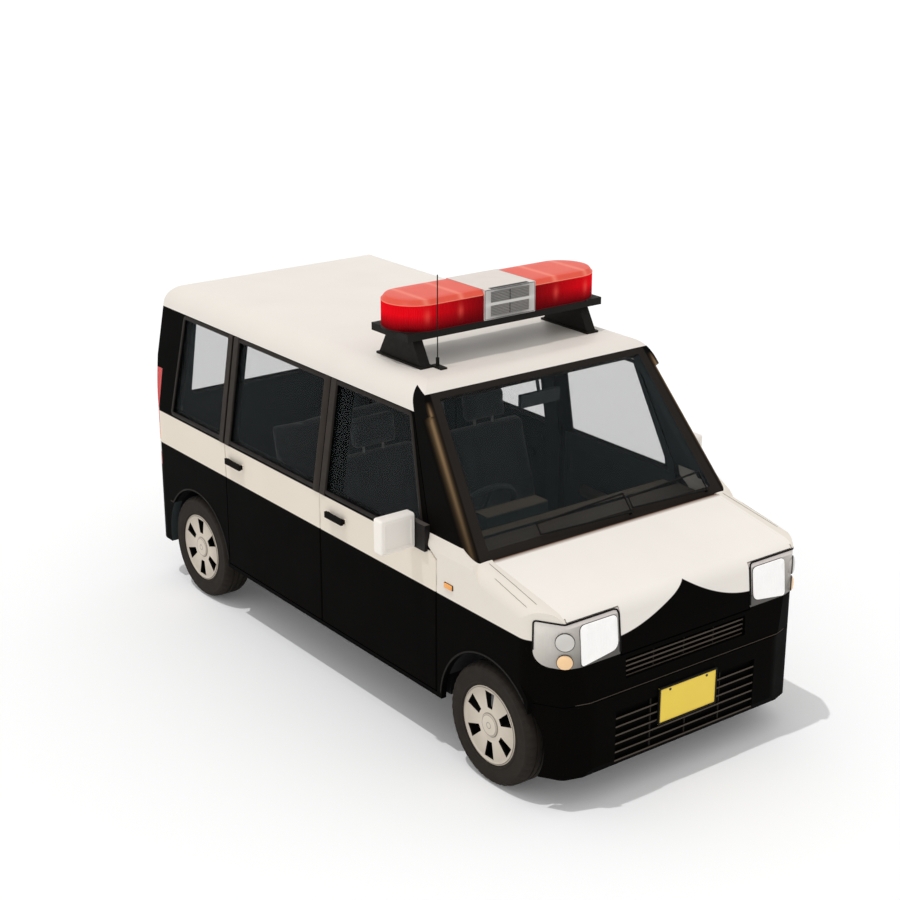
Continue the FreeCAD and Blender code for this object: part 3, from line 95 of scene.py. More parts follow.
class Look:
    """A Principled material whose inputs can be fed by small procedural steps."""

    def __init__(self, name, colour, rough=0.5, metal=0.0, gloss=0.5, alpha=1.0):
        self.material = bpy.data.materials.new(name)
        self.material.use_nodes = True
        self.nodes = self.material.node_tree.nodes
        self.links = self.material.node_tree.links
        self.shader = self.nodes["Principled BSDF"]
        self.coords = self.nodes.new("ShaderNodeTexCoord")
        self.normal = None
        for socket, value in (("Base Color", linear(colour)), ("Roughness", rough), ("Metallic", metal),
                              ("Specular IOR Level", gloss), ("Alpha", alpha)):
            self.set(socket, value)

    def set(self, socket, value):
        self.feed(self.shader.inputs[socket], value)

    def feed(self, socket, value):
        if isinstance(value, bpy.types.NodeSocket):
            self.links.new(value, socket)
        else:
            socket.default_value = value

    def tint(self, socket, colour):
        """Feeds an sRGB colour or a colour socket."""
        self.feed(socket, colour if isinstance(colour, bpy.types.NodeSocket) else linear(colour))

    def node(self, kind, **settings):
        made = self.nodes.new("ShaderNode" + kind)
        for setting, value in settings.items():
            setattr(made, setting, value)
        return made

    def split(self, output):
        node = self.node("SeparateXYZ")
        self.links.new(self.coords.outputs[output], node.inputs[0])
        return node.outputs

    def place(self):
        """Sockets of x, y and z in the row frame."""
        return self.split("Object")

    def facing(self):
        """Sockets of the surface normal's x, y and z."""
        return self.split("Normal")

    def calc(self, operation, *values):
        node = self.node("Math", operation=operation)
        for socket, value in zip(node.inputs, values):
            self.feed(socket, value)
        return node.outputs[0]

    def times(self, value, *factors):
        for factor in factors:
            value = self.calc("MULTIPLY", value, factor)
        return value

    def most(self, value, *others):
        for other in others:
            value = self.calc("MAXIMUM", value, other)
        return value

    def size(self, value):
        return self.calc("ABSOLUTE", value)

    def wave(self, value, pitch):
        return self.calc("SINE", self.times(value, pitch))

    def inward(self, y):
        """About 1 where a face looks from one side towards the middle of the car."""
        return self.times(y, self.facing()[1], -1.4)

    def past(self, value, edge, soft=0.0015):
        """0 below the edge, 1 above it."""
        node = self.node("MapRange")
        self.feed(node.inputs["Value"], value)
        self.feed(node.inputs["From Min"], self.calc("SUBTRACT", edge, soft))
        self.feed(node.inputs["From Max"], self.calc("ADD", edge, soft))
        return node.outputs["Result"]

    def between(self, value, low, high, soft=0.0015):
        below = self.calc("SUBTRACT", 1.0, self.past(value, high, soft))
        return self.times(self.past(value, low, soft), below)

    def spot(self, value, centre, width):
        """A soft bump of 1 around a value."""
        away = self.calc("DIVIDE", self.calc("SUBTRACT", value, centre), width)
        return self.calc("EXPONENT", self.times(away, away, -1.0))

    def mix(self, share, first, second):
        node = self.node("Mix", data_type="RGBA")
        self.feed(node.inputs[0], share)
        self.tint(node.inputs[6], first)
        self.tint(node.inputs[7], second)
        return node.outputs[2]

    def noise(self, scale, detail=2.0, stretch=(1, 1, 1)):
        spread = self.node("Mapping")
        spread.inputs["Scale"].default_value = stretch
        self.links.new(self.coords.outputs["Object"], spread.inputs["Vector"])
        node = self.node("TexNoise")
        node.inputs["Scale"].default_value = scale
        node.inputs["Detail"].default_value = detail
        self.links.new(spread.outputs[0], node.inputs["Vector"])
        return node.outputs[0]

    def range(self, value, low, high, start=0.3, end=0.7):
        """Maps a value from start to end, by default a noise, onto a range of numbers."""
        node = self.node("MapRange")
        for name, number in (("From Min", start), ("From Max", end), ("To Min", low), ("To Max", high)):
            node.inputs[name].default_value = number
        self.feed(node.inputs["Value"], value)
        return node.outputs["Result"]

    def ramp(self, value, start, end, first, second):
        """Mix of two colours from the start to the end of a value."""
        return self.mix(self.range(value, 0.0, 1.0, start, end), first, second)

    def bump(self, height, distance):
        node = self.node("Bump")
        node.inputs["Distance"].default_value = distance
        self.feed(node.inputs["Height"], height)
        if self.normal:
            self.links.new(self.normal, node.inputs["Normal"])
        self.normal = node.outputs[0]
        self.set("Normal", self.normal)

    def wear(self, colour, depth=0.03, scale=3.0):
        """The colour, a little darker in broad cloudy patches."""
        dark = self.node("Mix", data_type="RGBA", blend_type="MULTIPLY")
        self.feed(dark.inputs[0], self.range(self.noise(scale, 4.0), 0.0, 1.0))
        self.tint(dark.inputs[6], colour)
        self.feed(dark.inputs[7], (1.0 - depth,) * 3 + (1.0,))
        return dark.outputs[2]

    def finish(self, colour, depth, scale, height=None, distance=0.0):
        """Worn colour and a bump: the last step of most materials."""
        self.set("Base Color", self.wear(colour, depth, scale))
        if height is not None:
            self.bump(height, distance)
        return self.material


def paint(look, colour):
    """Finish of sprayed body paint: faint clouding, orange peel and a roughness that varies."""
    look.set("Base Color", look.wear(colour))
    look.set("Roughness", look.range(look.noise(5.0, 3.0), 0.38, 0.5))
    look.bump(look.noise(260.0, 1.0), 0.00012)
    return look.material


def band_paint(name, side):
    """White band on black, dark lining inside; the gate (side 0) has its lining on forward faces."""
    look = Look(name, BLACK, gloss=0.006)
    x, y, z = look.place()
    reach = look.size(y)
    low = look.past(SHOULDER, z)
    colour = look.mix(look.between(z, BAND_LOW, BAND_HIGH), BLACK, BAND_WHITE)
    colour = look.mix(look.times(look.past(reach, BODY_HALF + 0.004, 0.001), low), colour, (24, 22, 20))
    if side:  # door edges are dark behind their painted skin: partly the door seals, partly painted shade in the gaps
        colour = look.mix(look.times(look.past(BODY_HALF - 0.014, reach, 0.001), low), colour, (30, 30, 30))
    inward = look.times(look.facing()[1], -float(side)) if side else look.facing()[0]
    return paint(look, look.mix(look.past(inward, 0.6, 0.05), colour, LINING))


def nose_paint(name):
    """White bonnet over a black nose: the border dips beside the middle and peaks in it."""
    look = Look(name, BLACK, gloss=0.006)
    x, y, z = look.place()
    away = look.calc("SUBTRACT", 1.0, look.calc("DIVIDE", look.size(y), NOSE_SPREAD))
    rise = look.calc("POWER", look.most(away, 0.0), 1.8)
    border = look.calc("MULTIPLY_ADD", rise, NOSE_PEAK, NOSE_LINE)
    white = look.ramp(x, 1.127, 1.150, (112, 78, 56), NOSE_WHITE)
    return paint(look, look.mix(look.past(z, border), BLACK, white))


def fender_paint(name):
    """White above the band's lower edge, with the screen pillar's foot black."""
    look = Look(name, BLACK, gloss=0.006)
    x, y, z = look.place()
    colour = look.mix(look.past(z, BAND_LOW), BLACK, FENDER_WHITE)
    return paint(look, look.mix(look.times(look.past(z, 0.997), look.past(1.2, x)), colour, FRAME_BLACK))


def roof_paint(name):
    """White roof, lined inside."""
    look = Look(name, WHITE, gloss=0.25)
    down = look.past(look.times(look.facing()[2], -1.0), 0.5, 0.05)
    return paint(look, look.mix(down, WHITE, LINING))


def plastic(name, colour, rough=0.6, gloss=0.25, grain=900.0, depth=0.00015):
    """Moulded plastic with a fine grain."""
    look = Look(name, colour, rough, gloss=gloss)
    look.set("Roughness", look.range(look.noise(40.0), rough - 0.08, rough + 0.08))
    return look.finish(colour, 0.12, 12.0, look.noise(grain, 3.0), depth)


def metal(name, colour, rough, metallic):
    """Worn metal with a roughness that varies."""
    look = Look(name, colour, rough, metallic)
    look.set("Roughness", look.range(look.noise(8.0, 6.0, (60, 60, 60)), rough - 0.1, rough + 0.15))
    return look.finish(colour, 0.2, 14.0, look.noise(90.0, 4.0), 0.0003)


def rubber(name, colour):
    look = Look(name, colour, 0.85, gloss=0.15)
    return look.finish(colour, 0.25, 18.0, look.noise(700.0, 3.0), 0.0003)


def glass(name, colour, alpha, rough=0.04):
    """Tinted pane that shows what is behind it."""
    look = Look(name, colour, rough, gloss=0.12, alpha=alpha)
    look.set("Roughness", look.range(look.noise(4.0, 4.0), rough, rough + 0.06))
    return look.material


def cloth(name, colour):
    """Woven seat cloth: two crossed threads in colour and bump."""
    look = Look(name, colour, 0.95, gloss=0.1)
    look.set("Sheen Weight", 0.3)
    x, y, z = look.place()
    pitch = 1500.0
    weave = look.times(look.wave(y, pitch), look.wave(look.calc("ADD", x, z), pitch))
    woven = look.ramp(weave, -1, 1, colour, tuple(min(255, c * 1.1) for c in colour))
    return look.finish(woven, 0.12, 9.0, weave, 0.00008)


def beacon_red(name):
    """Red lens: top painted lighter as lit from above, with painted highlight streaks, a light rim, dark
    foot, and a painted glint over each reflector.
    """
    look = Look(name, (182, 11, 26), 0.3, gloss=0.04)
    x, y, z = look.place()
    reach = look.size(y)
    bright = look.ramp(reach, 0.16, 0.5, (150, 5, 16), (248, 8, 28))
    side = look.ramp(z, 1.733, 1.80, (100, 0, 8), bright)
    # painted glints on the sides, over the reflectors inside
    painted_glints = look.most(look.spot(reach, 0.27, 0.014), look.spot(reach, 0.447, 0.014))
    side = look.mix(look.times(painted_glints, look.spot(z, 1.795, 0.026), 0.5), side, (255, 96, 84))
    # painted highlight streaks on a top painted lighter, as light from above falls on it
    painted_streaks = look.most(look.spot(reach, 0.265, 0.014), look.spot(reach, 0.45, 0.014))
    top = look.mix(look.times(painted_streaks, 0.5), (236, 96, 78), (255, 156, 132))
    colour = look.mix(look.past(z, DOME_RIM, 0.0005), side, (255, 140, 116))
    colour = look.mix(look.past(z, DOME_TOP, 0.0005), colour, top)
    return look.finish(colour, 0.05, 20.0, look.noise(120.0), 0.0001)


def box_silver(name):
    """Brushed centre box of the light bar: top painted pale as lit from above, front painted shaded with a
    painted highlight band, dark inside its openings.
    """
    look = Look(name, (200, 196, 190), 0.5, 0.1, 0.2)
    x, y, z = look.place()
    reach = look.size(y)
    # painted shade on the front, lighter towards both ends, then a painted highlight band across its middle
    front = look.ramp(reach, 0.06, 0.14, (150, 148, 146), (206, 203, 200))
    front = look.mix(look.spot(z, 1.798, 0.012), front, (218, 216, 212))
    # faces other than the front painted pale, the top as lit from above
    colour = look.mix(look.past(look.facing()[0], 0.7, 0.1), (228, 219, 211), front)
    inside = look.times(look.between(reach, 0.0, SPEAKER_HALF, 0.0003), look.past(x, 0.405),
                        look.past(0.4283, x, 0.0001))
    colour = look.mix(inside, colour, (34, 33, 32))
    return look.finish(colour, 0.05, 20.0, look.noise(30.0, 4.0, (1, 1, 40)), 0.0001)


def pillar_black(name):
    """Windscreen frame: dark brown in front, a painted brown highlight along the rounded pillar, nearly
    black beside it.
    """
    look = Look(name, FRAME_BLACK, 0.55, gloss=0.02)
    x, y, z = look.place()
    turned = look.size(look.facing()[1])
    edge = look.calc("ADD", look.size(y), look.times(look.calc("SUBTRACT", z, SHOULDER), LEAN))
    # painted highlight along the rounded pillar: a broad and a narrow band, fading towards its foot, kept
    # off the side faces
    broad = look.times(look.spot(edge, BODY_HALF - 0.019, 0.013), 0.4)
    narrow = look.times(look.spot(edge, BODY_HALF - 0.018, 0.006), 0.6)
    sheen = look.times(look.calc("ADD", broad, narrow), look.between(z, 0.95, 1.49, 0.02),
                       look.range(z, 0.32, 0.95, 0.97, 1.36), look.past(0.90, turned, 0.06))
    colour = look.mix(look.past(turned, 0.75, 0.15), FRAME_BLACK, (7, 6, 6))
    hollow = look.times(look.past(edge, BODY_HALF - 0.043, 0.004), look.past(z, 0.95))
    colour = look.mix(hollow, colour, (9, 8, 7))
    colour = look.mix(look.past(look.inward(y), 0.5, 0.05), colour, LINING)
    colour = look.mix(sheen, colour, (134, 109, 80))
    return look.finish(colour, 0.1, 9.0, look.noise(500.0, 2.0), 0.0001)


def mirror_paint(name):
    """White mirror shell on a black foot, both painted lighter on top, as light from above falls there."""
    look = Look(name, (226, 219, 210), gloss=0.12)
    x, y, z = look.place()
    # painted light: faces looking up are lighter on both shell and foot
    top = look.past(look.facing()[2], 0.7, 0.15)
    shell = look.mix(top, (254, 248, 240), (248, 241, 234))
    foot = look.mix(top, (30, 27, 26), (84, 78, 74))
    return paint(look, look.mix(look.past(look.size(y), 0.757), foot, shell))


def dash_trim(name):
    """Dashboard: brown padded top, dark teal front."""
    look = Look(name, (50, 48, 44), 0.75, gloss=0.1)
    colour = look.mix(look.past(look.facing()[2], 0.5, 0.2), (40, 48, 50), (80, 72, 62))
    return look.finish(colour, 0.12, 9.0, look.noise(400.0, 3.0), 0.0003)


def cover_paint(name):
    """Silver wheel cover on its outward faces with painted shading across the dish; drum, slot walls and the
    inner side nearly black, the slot walls as painted shade.
    """
    look = Look(name, (190, 180, 165), 0.5, 0.1, 0.15)
    x, y, z = look.place()
    away_x = look.calc("MINIMUM", *[look.size(look.calc("SUBTRACT", x, axle))
                                    for axle in (FRONT_AXLE, REAR_AXLE)])
    away_z = look.calc("SUBTRACT", z, AXLE_HIGH)
    radius = look.calc("SQRT", look.calc("ADD", look.times(away_x, away_x), look.times(away_z, away_z)))
    # painted shading: lighter in the middle, darker towards the rim, with a lighter band near the rim
    shade = look.ramp(radius, 0.05, 0.17, (222, 211, 196), (198, 187, 172))
    shade = look.mix(look.spot(radius, 0.158, 0.008), shade, (208, 198, 184))
    rings = ((0.052, 0.0018), (0.045, 0.0014), (0.013, 0.0016), (0.1665, 0.002))
    ring = look.most(*[look.spot(radius, centre, width) for centre, width in rings])
    shade = look.mix(look.times(ring, 0.75), shade, (84, 76, 68))
    # slot walls painted nearly black as shade in the slots; drum and inner side nearly black too
    outward = look.times(look.past(look.size(look.facing()[1]), 0.5, 0.1), look.past(look.size(y), 0.7))
    colour = look.mix(outward, (14, 13, 12), shade)
    return look.finish(colour, 0.08, 12.0, look.noise(90.0, 4.0), 0.0002)


def lamp_reflector(name):
    """Silvered lamp body under its cover: pale top band, light outer end, darker beside the lens, flutes."""
    look = Look(name, (183, 176, 165), 0.3, 0.05, 0.15)
    x, y, z = look.place()
    reach = look.size(y)
    low = look.ramp(reach, 0.57, 0.72, (116, 113, 108), (196, 190, 182))
    high = look.ramp(reach, 0.57, 0.72, (186, 181, 174), (238, 232, 224))
    band = look.times(look.past(z, 0.819, 0.002), look.past(0.66, reach, 0.03))
    colour = look.mix(band, look.ramp(z, 0.65, 0.80, low, high), (228, 219, 213))
    wedge = look.times(look.past(0.58, reach), look.past(0.70, z))
    return look.finish(look.mix(wedge, colour, (96, 93, 90)), 0.05, 25.0, look.wave(y, 900.0), 0.0002)


def lens(name, colour, flute=0.0, shine=0.0):
    """Lamp glass with fine flutes across Y; shine stands for the light that its reflector returns."""
    look = Look(name, colour, 0.2, gloss=0.2)
    look.set("Emission Color", linear(colour))
    look.set("Emission Strength", shine)
    return look.finish(colour, 0.05, 20.0, look.wave(look.place()[1], flute) if flute else None, 0.0004)


def tail_lens(name):
    """Tail lamp in four zones: red, orange, white and red, from the top; lined inside."""
    look = Look(name, (214, 30, 26), 0.18, gloss=0.4)
    x, y, z = look.place()
    colour = (206, 24, 24)
    for foot, zone in TAIL_ZONES:
        colour = look.mix(look.past(z, foot), colour, zone)
    inward = look.most(look.facing()[0], look.inward(y))
    colour = look.mix(look.past(inward, 0.5, 0.05), colour, LINING)
    return look.finish(colour, 0.06, 20.0, look.wave(z, 1400.0), 0.0005)


MATERIALS = {
    "roof": roof_paint("roof_white"),
    "nose": nose_paint("nose_livery"),
    "fender": fender_paint("fender_livery"),
    "frame": plastic("frame_black", FRAME_BLACK, 0.5, 0.08),
    "post": plastic("post_brown", (54, 48, 43), 0.5, 0.08),
    "black": plastic("satin_black", (20, 19, 18), 0.5, 0.08),
    "pillar": pillar_black("pillar_black"),
    "bar": plastic("bar_black", (30, 28, 25), 0.55, 0.08),
    "mirror_white": mirror_paint("mirror_white"),
    "silver": box_silver("box_silver"),
    "slat": plastic("slat_grey", (160, 157, 154), 0.5, 0.1),
    "cover": cover_paint("cover_silver"),
    "bright": metal("bright_metal", (190, 188, 184), 0.3, 0.8),
    "steel": metal("dark_steel", (70, 68, 66), 0.55, 0.6),
    "exhaust": metal("exhaust_steel", (120, 112, 104), 0.4, 0.9),
    "underbody": plastic("underbody", (52, 52, 54), 0.8, 0.15, 200.0, 0.0005),
    "tank": plastic("tank_grey", (58, 58, 58), 0.6),
    # brown painted highlight for the grille rib edges and the bumper crease
    "rib": plastic("rib_edge_highlight", (84, 75, 66), 0.5, 0.08),
    "cowl": plastic("cowl_brown", (66, 59, 52), 0.6, 0.08),
    "gap": plastic("gap_black", (16, 15, 14), 0.8, 0.02),
    # grey of the speaker joint, and painted shade on the fender's pressed lines
    "seam": plastic("seam_grey", (150, 143, 134), 0.7, 0.1),
    "dash": dash_trim("dash_trim"),
    "trim": plastic("cabin_trim", (48, 52, 53), 0.7, 0.2, 500.0, 0.0003),
    "binnacle": plastic("binnacle_brown", (74, 66, 58), 0.6, 0.2, 500.0, 0.0003),
    "rubber": rubber("tyre_rubber", (44, 39, 34)),
    "window": glass("window_glass", (40, 47, 49), 0.15),
    "screen": glass("screen_glass", (47, 54, 56), 0.14),
    "mirror_glass": metal("mirror_glass", (190, 196, 200), 0.08, 0.95),
    "cloth": cloth("seat_cloth", (58, 61, 61)),
    "red": beacon_red("beacon_red"),
    "reflector": lamp_reflector("lamp_reflector"),
    "white_lens": lens("white_lens", (250, 248, 246), 420.0, 0.17),
    "amber_lens": lens("amber_lens", (248, 208, 160), shine=0.1),
    "marker_lens": lens("marker_lens", (255, 178, 98), 900.0),
    "bulb": lens("bulb_silver", (214, 211, 205), shine=0.04),
    "tail": tail_lens("tail_lens"),
    "rear_red": lens("rear_red", (196, 18, 22), 900.0),
    "plate": paint(Look("plate_yellow", PLATE_YELLOW, gloss=0.25), PLATE_YELLOW),
    "gate": band_paint("gate_livery", 0),
    "band_right": band_paint("band_right", SIDES["right"]),
    "band_left": band_paint("band_left", SIDES["left"]),
}

# The CAD nodes of each look; a star stands for right and left
NODE_LOOKS = {
    "pillar": "windscreen_frame", "screen": "windscreen", "roof": "roof_panel", "reflector": "headlamps",
    "nose": "bonnet nose_panel bumper_front", "gate": "tailgate bumper_rear", "tail": "tail_lamps",
    "window": "tailgate_glass quarter_glass_* glass_front_* glass_rear_*", "underbody": "floor_pan",
    "cowl": "cowl", "cloth": "front_seats rear_bench", "dash": "dashboard", "exhaust": "exhaust",
    "trim": "steering_wheel steering_column inside_mirror", "tank": "fuel_tank", "black": "wipers",
    "steel": "engine_block rear_axle front_subframe knuckle_*", "red": "light_bar_domes",
    "silver": "light_bar_centre", "bar": "light_bar_base aerial", "plate": "plate_front plate_rear",
    "fender": "fender_*", "mirror_white": "mirror_*", "rubber": "tyre_front_* tyre_rear_*",
    "cover": "wheel_front_* wheel_rear_*", "band_right": "side_frame_right door_front_right door_rear_right",
    "band_left": "side_frame_left door_front_left door_rear_left",
}
for look, names in NODE_LOOKS.items():
    for name in names.split():
        for side in SIDES if "*" in name else ("",):
            materials = NODES[name.replace("*", side)].data.materials
            materials.clear()
            materials.append(MATERIALS[look])


# Mesh building

class Shape:
    """Vertices and faces of one piece, in the row frame. Each building step returns the shape."""

    def __init__(self):
        self.verts = []
        self.faces = []

    def loft(self, rings, closed=True, first_cap=True, last_cap=True):
        """Skin over rings of equal count."""
        count = len(rings[0])
        start = len(self.verts)
        faces = []
        for step in range(len(rings) - 1):
            for index in range(count if closed else count - 1):
                after = (index + 1) % count
                low = step * count
                faces.append((low + index, low + after, low + count + after, low + count + index))
        total = count * len(rings)
        if first_cap:
            faces.append(tuple(reversed(range(count))))
        if last_cap:
            faces.append(tuple(range(total - count, total)))
        self.verts += [tuple(vert) for ring in rings for vert in ring]
        self.faces += [tuple(start + index for index in face) for face in faces]
        return self

    def box(self, low, high):
        x0, y0, z0 = low
        x1, y1, z1 = high
        return self.loft([[(x0, y0, z), (x1, y0, z), (x1, y1, z), (x0, y1, z)] for z in (z0, z1)])

    def across(self, outline, start, end):
        """An outline in x and z drawn from one y to another."""
        return self.loft([[(x, y, z) for x, z in outline] for y in (start, end)])

    def dome(self, place, outline, profile, first_cap=False, last_cap=True):
        """Rings of an outline, scaled and lifted: place(u, w, lift) puts them in space."""
        rings = [[place(u * scale, w * scale, lift) for u, w in outline] for scale, lift in profile]
        return self.loft(rings, first_cap=first_cap, last_cap=last_cap)

    def terrace(self, place, outline, profile, first_cap=True):
        """Rings of an outline, inset and lifted."""
        return self.loft([[place(u, w, lift) for u, w in offset_outline(outline, -inset)]
                          for inset, lift in profile], first_cap=first_cap)

    def moulding(self, outline, place, inner, outer, height, sink=0.003, crown=0.4):
        """Raised ring round an outline: place(u, v, out) puts it on the surface."""
        quarter = (outer - inner) * 0.25
        profile = ((inner, -sink), (inner, height * 0.7), (inner + quarter, height),
                   (outer - quarter, height), (outer, height * crown), (outer, -sink))
        loops = [offset_outline(outline, reach) for reach, out in profile]
        rings = [[place(loop[index][0], loop[index][1], out) for loop, (reach, out) in zip(loops, profile)]
                 for index in range(len(outline))]
        return self.loft(rings + rings[:1], first_cap=False, last_cap=False)

    def button(self, tree, centre, way, outline, profile):
        """A domed tile laid on a surface: rings of the outline, scaled and lifted along the normal."""
        way = Vector(way)
        point, normal = cast(tree, Vector(centre) - way * 0.3, way)
        normal = normal if normal.dot(way) < 0 else -normal
        side = UP.cross(normal).normalized()
        high = normal.cross(side)

        def place(u, w, lift):
            start = point + side * u + high * w + normal * 0.1
            hit = cast(tree, start, -normal)
            foot = hit[0] if hit and (hit[0] - start).length < 0.2 else start - normal * 0.1
            return foot + normal * lift

        return self.dome(place, outline, profile)

    def strip(self, tree, path, half, lift, step=0.012, sink=0.0015, taper=True, centre=None):
        """Thin line along a path laid on the nearest surface, or level towards a centre's upright axis."""
        points = []
        for first, second in zip(path, path[1:]):
            first, second = Vector(first), Vector(second)
            count = max(1, round((second - first).length / step))
            points += [first.lerp(second, index / count) for index in range(count)]
        points.append(Vector(path[-1]))
        feet = []
        for point in points:
            if centre:
                way = Vector((centre[0] - point.x, centre[1] - point.y, 0)).normalized()
                foot, normal = cast(tree, point - way * 0.15, way) or tree.find_nearest(point)[:2]
                feet.append((foot, normal if normal.dot(way) < 0 else -normal))
            else:
                feet.append(tree.find_nearest(point)[:2])
        rings = []
        last = len(feet) - 1
        for index, (foot, normal) in enumerate(feet):
            ahead = (feet[min(index + 1, last)][0] - feet[max(index - 1, 0)][0]).normalized()
            side = ahead.cross(normal).normalized()
            width = half * (0.25 if taper and index in (0, last) else 1.0)
            rings.append([foot + side * (width * share) + normal * rise
                          for share, rise in ((-1.0, -sink), (-0.75, lift), (0.75, lift), (1.0, -sink))])
        return self.loft(rings)

    def piece(self, name, look, body="root", bevel=0.0, smooth=35.0):
        """Makes the object, rounds its edges and lets it ride on its body."""
        mesh = bpy.data.meshes.new(name)
        mesh.from_pydata(self.verts, [], self.faces)
        mesh.validate()
        build = bmesh.new()
        build.from_mesh(mesh)
        bmesh.ops.recalc_face_normals(build, faces=build.faces)
        build.to_mesh(mesh)
        build.free()
        mesh.polygons.foreach_set("use_smooth", [True] * len(mesh.polygons))
        mesh.set_sharp_from_angle(angle=math.radians(smooth))
        obj = place_mesh(name, mesh, look)
        if bevel:
            edge = obj.modifiers.new("edge", "BEVEL")
            edge.width = bevel
            edge.segments = 2
            edge.limit_method = "ANGLE"
            edge.harden_normals = True
        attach(obj, body)
        return obj


def place_mesh(name, mesh, look):
    """Object of a mesh in one material, linked to the scene."""
    mesh.materials.clear()
    mesh.materials.append(MATERIALS[look])
    obj = bpy.data.objects.new(name, mesh)
    bpy.context.scene.collection.objects.link(obj)
    return obj


def evaluated(obj):
    return obj.evaluated_get(bpy.context.evaluated_depsgraph_get())


def on_side(sign, x, z, out=0.0):
    """Point on the leaning window side, moved outward along its normal."""
    slant = math.hypot(1.0, LEAN)
    y = BODY_HALF - (z - SHOULDER) * LEAN + out / slant
    return Vector((x, sign * y, z + out * LEAN / slant))


def round_axle(axle, y, radius, angle):
    """Point at a radius and angle about one of the axles."""
    return Vector((axle + radius * math.cos(angle), y, AXLE_HIGH + radius * math.sin(angle)))


def offset_outline(points, distance):
    """A closed 2-D outline moved outward by a distance, with mitred corners."""
    area = sum(a[0] * b[1] - b[0] * a[1] for a, b in zip(points, points[1:] + points[:1]))
    turn = 1.0 if area > 0 else -1.0
    moved = []
    for index, point in enumerate(points):
        here = Vector(point)
        before = (here - Vector(points[index - 1])).normalized()
        after = (Vector(points[(index + 1) % len(points)]) - here).normalized()
        normals = [Vector((way.y, -way.x)) * turn for way in (before, after)]
        middle = (normals[0] + normals[1]).normalized()
        moved.append(here + middle * (distance / max(middle.dot(normals[0]), 0.3)))
    return moved


def rectangle(u0, w0, u1, w1):
    return [(u0, w0), (u1, w0), (u1, w1), (u0, w1)]


def rounded(points, radii, steps=4):
    """A closed 2-D outline with its corners rounded."""
    outline = []
    for index, point in enumerate(points):
        here = Vector(point)
        radius = radii[index] if isinstance(radii, tuple) else radii
        back = Vector(points[index - 1]) - here
        ahead = Vector(points[(index + 1) % len(points)]) - here
        reach = min(radius, back.length * 0.49, ahead.length * 0.49)
        start = here + back.normalized() * reach
        end = here + ahead.normalized() * reach
        for step in range(steps + 1):
            share = step / steps
            outline.append(start * (1 - share) ** 2 + here * 2 * share * (1 - share) + end * share ** 2)
    return outline


def circle(radius, count=28):
    turn = 2 * math.pi / count
    return [(radius * math.cos(turn * i), radius * math.sin(turn * i)) for i in range(count)]


def surface(name):
    """Tree of a CAD node's surface for ray casts."""
    mesh = NODES[name].data
    return BVHTree.FromPolygons([vert.co.copy() for vert in mesh.vertices],
                                [list(polygon.vertices) for polygon in mesh.polygons])


def cast(tree, start, way):
    """Where a ray meets the surface, and the surface's normal there, or None."""
    point, normal, index, distance = tree.ray_cast(Vector(start), Vector(way))
    return (point, normal) if point else None


def stadium(x0, x1, y_flat, y_end, count):
    """Half stadium from the flat end at y_flat round to y_end and back, in plan, with its normals."""
    radius = (x1 - x0) / 2
    middle = (x0 + x1) / 2
    sign = 1 if y_end > y_flat else -1
    centre = y_end - sign * radius
    run = abs(centre - y_flat)
    arc = math.pi * radius
    points = []
    for index in range(count + 1):
        along = (2 * run + arc) * index / count
        if along < run:
            points.append((x1, y_flat + sign * along, 1, 0))
        elif along < run + arc:
            angle = (along - run) / radius
            nx, ny = math.cos(angle), sign * math.sin(angle)
            points.append((middle + radius * nx, centre + radius * ny, nx, ny))
        else:
            points.append((x0, centre - sign * (along - run - arc), -1, 0))
    return points


# Roof light bar

def light_bar():
    """Red domes with fine upright ribs, their gasket and the fittings of the centre box."""
    low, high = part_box("light_bar_domes")
    centre_low, centre_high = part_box("light_bar_centre")
    rise = high.z - low.z
    wall = 0.0032
    rib = 0.0026
    levels = ((0.0, 0.0), (0.0, 0.004), (wall, 0.005), (wall, rise - 0.0245), (0.0, rise - 0.0235),
              (0.0, rise - 0.0195), (0.003, rise - 0.0185), (0.011, rise - 0.006), (0.015, rise - 0.0015),
              (0.020, rise - 0.0003), (0.06, rise))
    domes = []
    for side, sign in SIDES.items():
        outline = stadium(low.x, high.x, sign * centre_high.y, sign * high.y, 264)
        rings = []
        for inset, lift in levels:
            ring = []
            for index, (x, y, nx, ny) in enumerate(outline):
                depth = inset - (rib if inset == wall and index % 2 else 0.0)
                ring.append((x - nx * depth, y - ny * depth, low.z + lift))
            rings.append(ring)
        dome = Shape().loft(rings).piece("beacon_dome_" + side, "red", smooth=50.0)
        domes.append(dome)
    for dome in domes:
        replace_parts(dome, "light_bar_domes")
    louvres(centre_low, centre_high)
    gasket = Shape()
    profile = ((0.004, -0.006), (-0.001, -0.006), (-0.002, -0.001), (0.0, 0.001), (0.005, 0.002))
    for sign in SIDES.values():
        outline = stadium(low.x - 0.001, high.x + 0.001, sign * 0.46, sign * (high.y + 0.001), 90)[12:-12]
        gasket.loft([[(x - nx * inset, y - ny * inset, low.z + lift) for inset, lift in profile]
                     for x, y, nx, ny in outline])
    gasket.piece("dome_gasket", "bar")


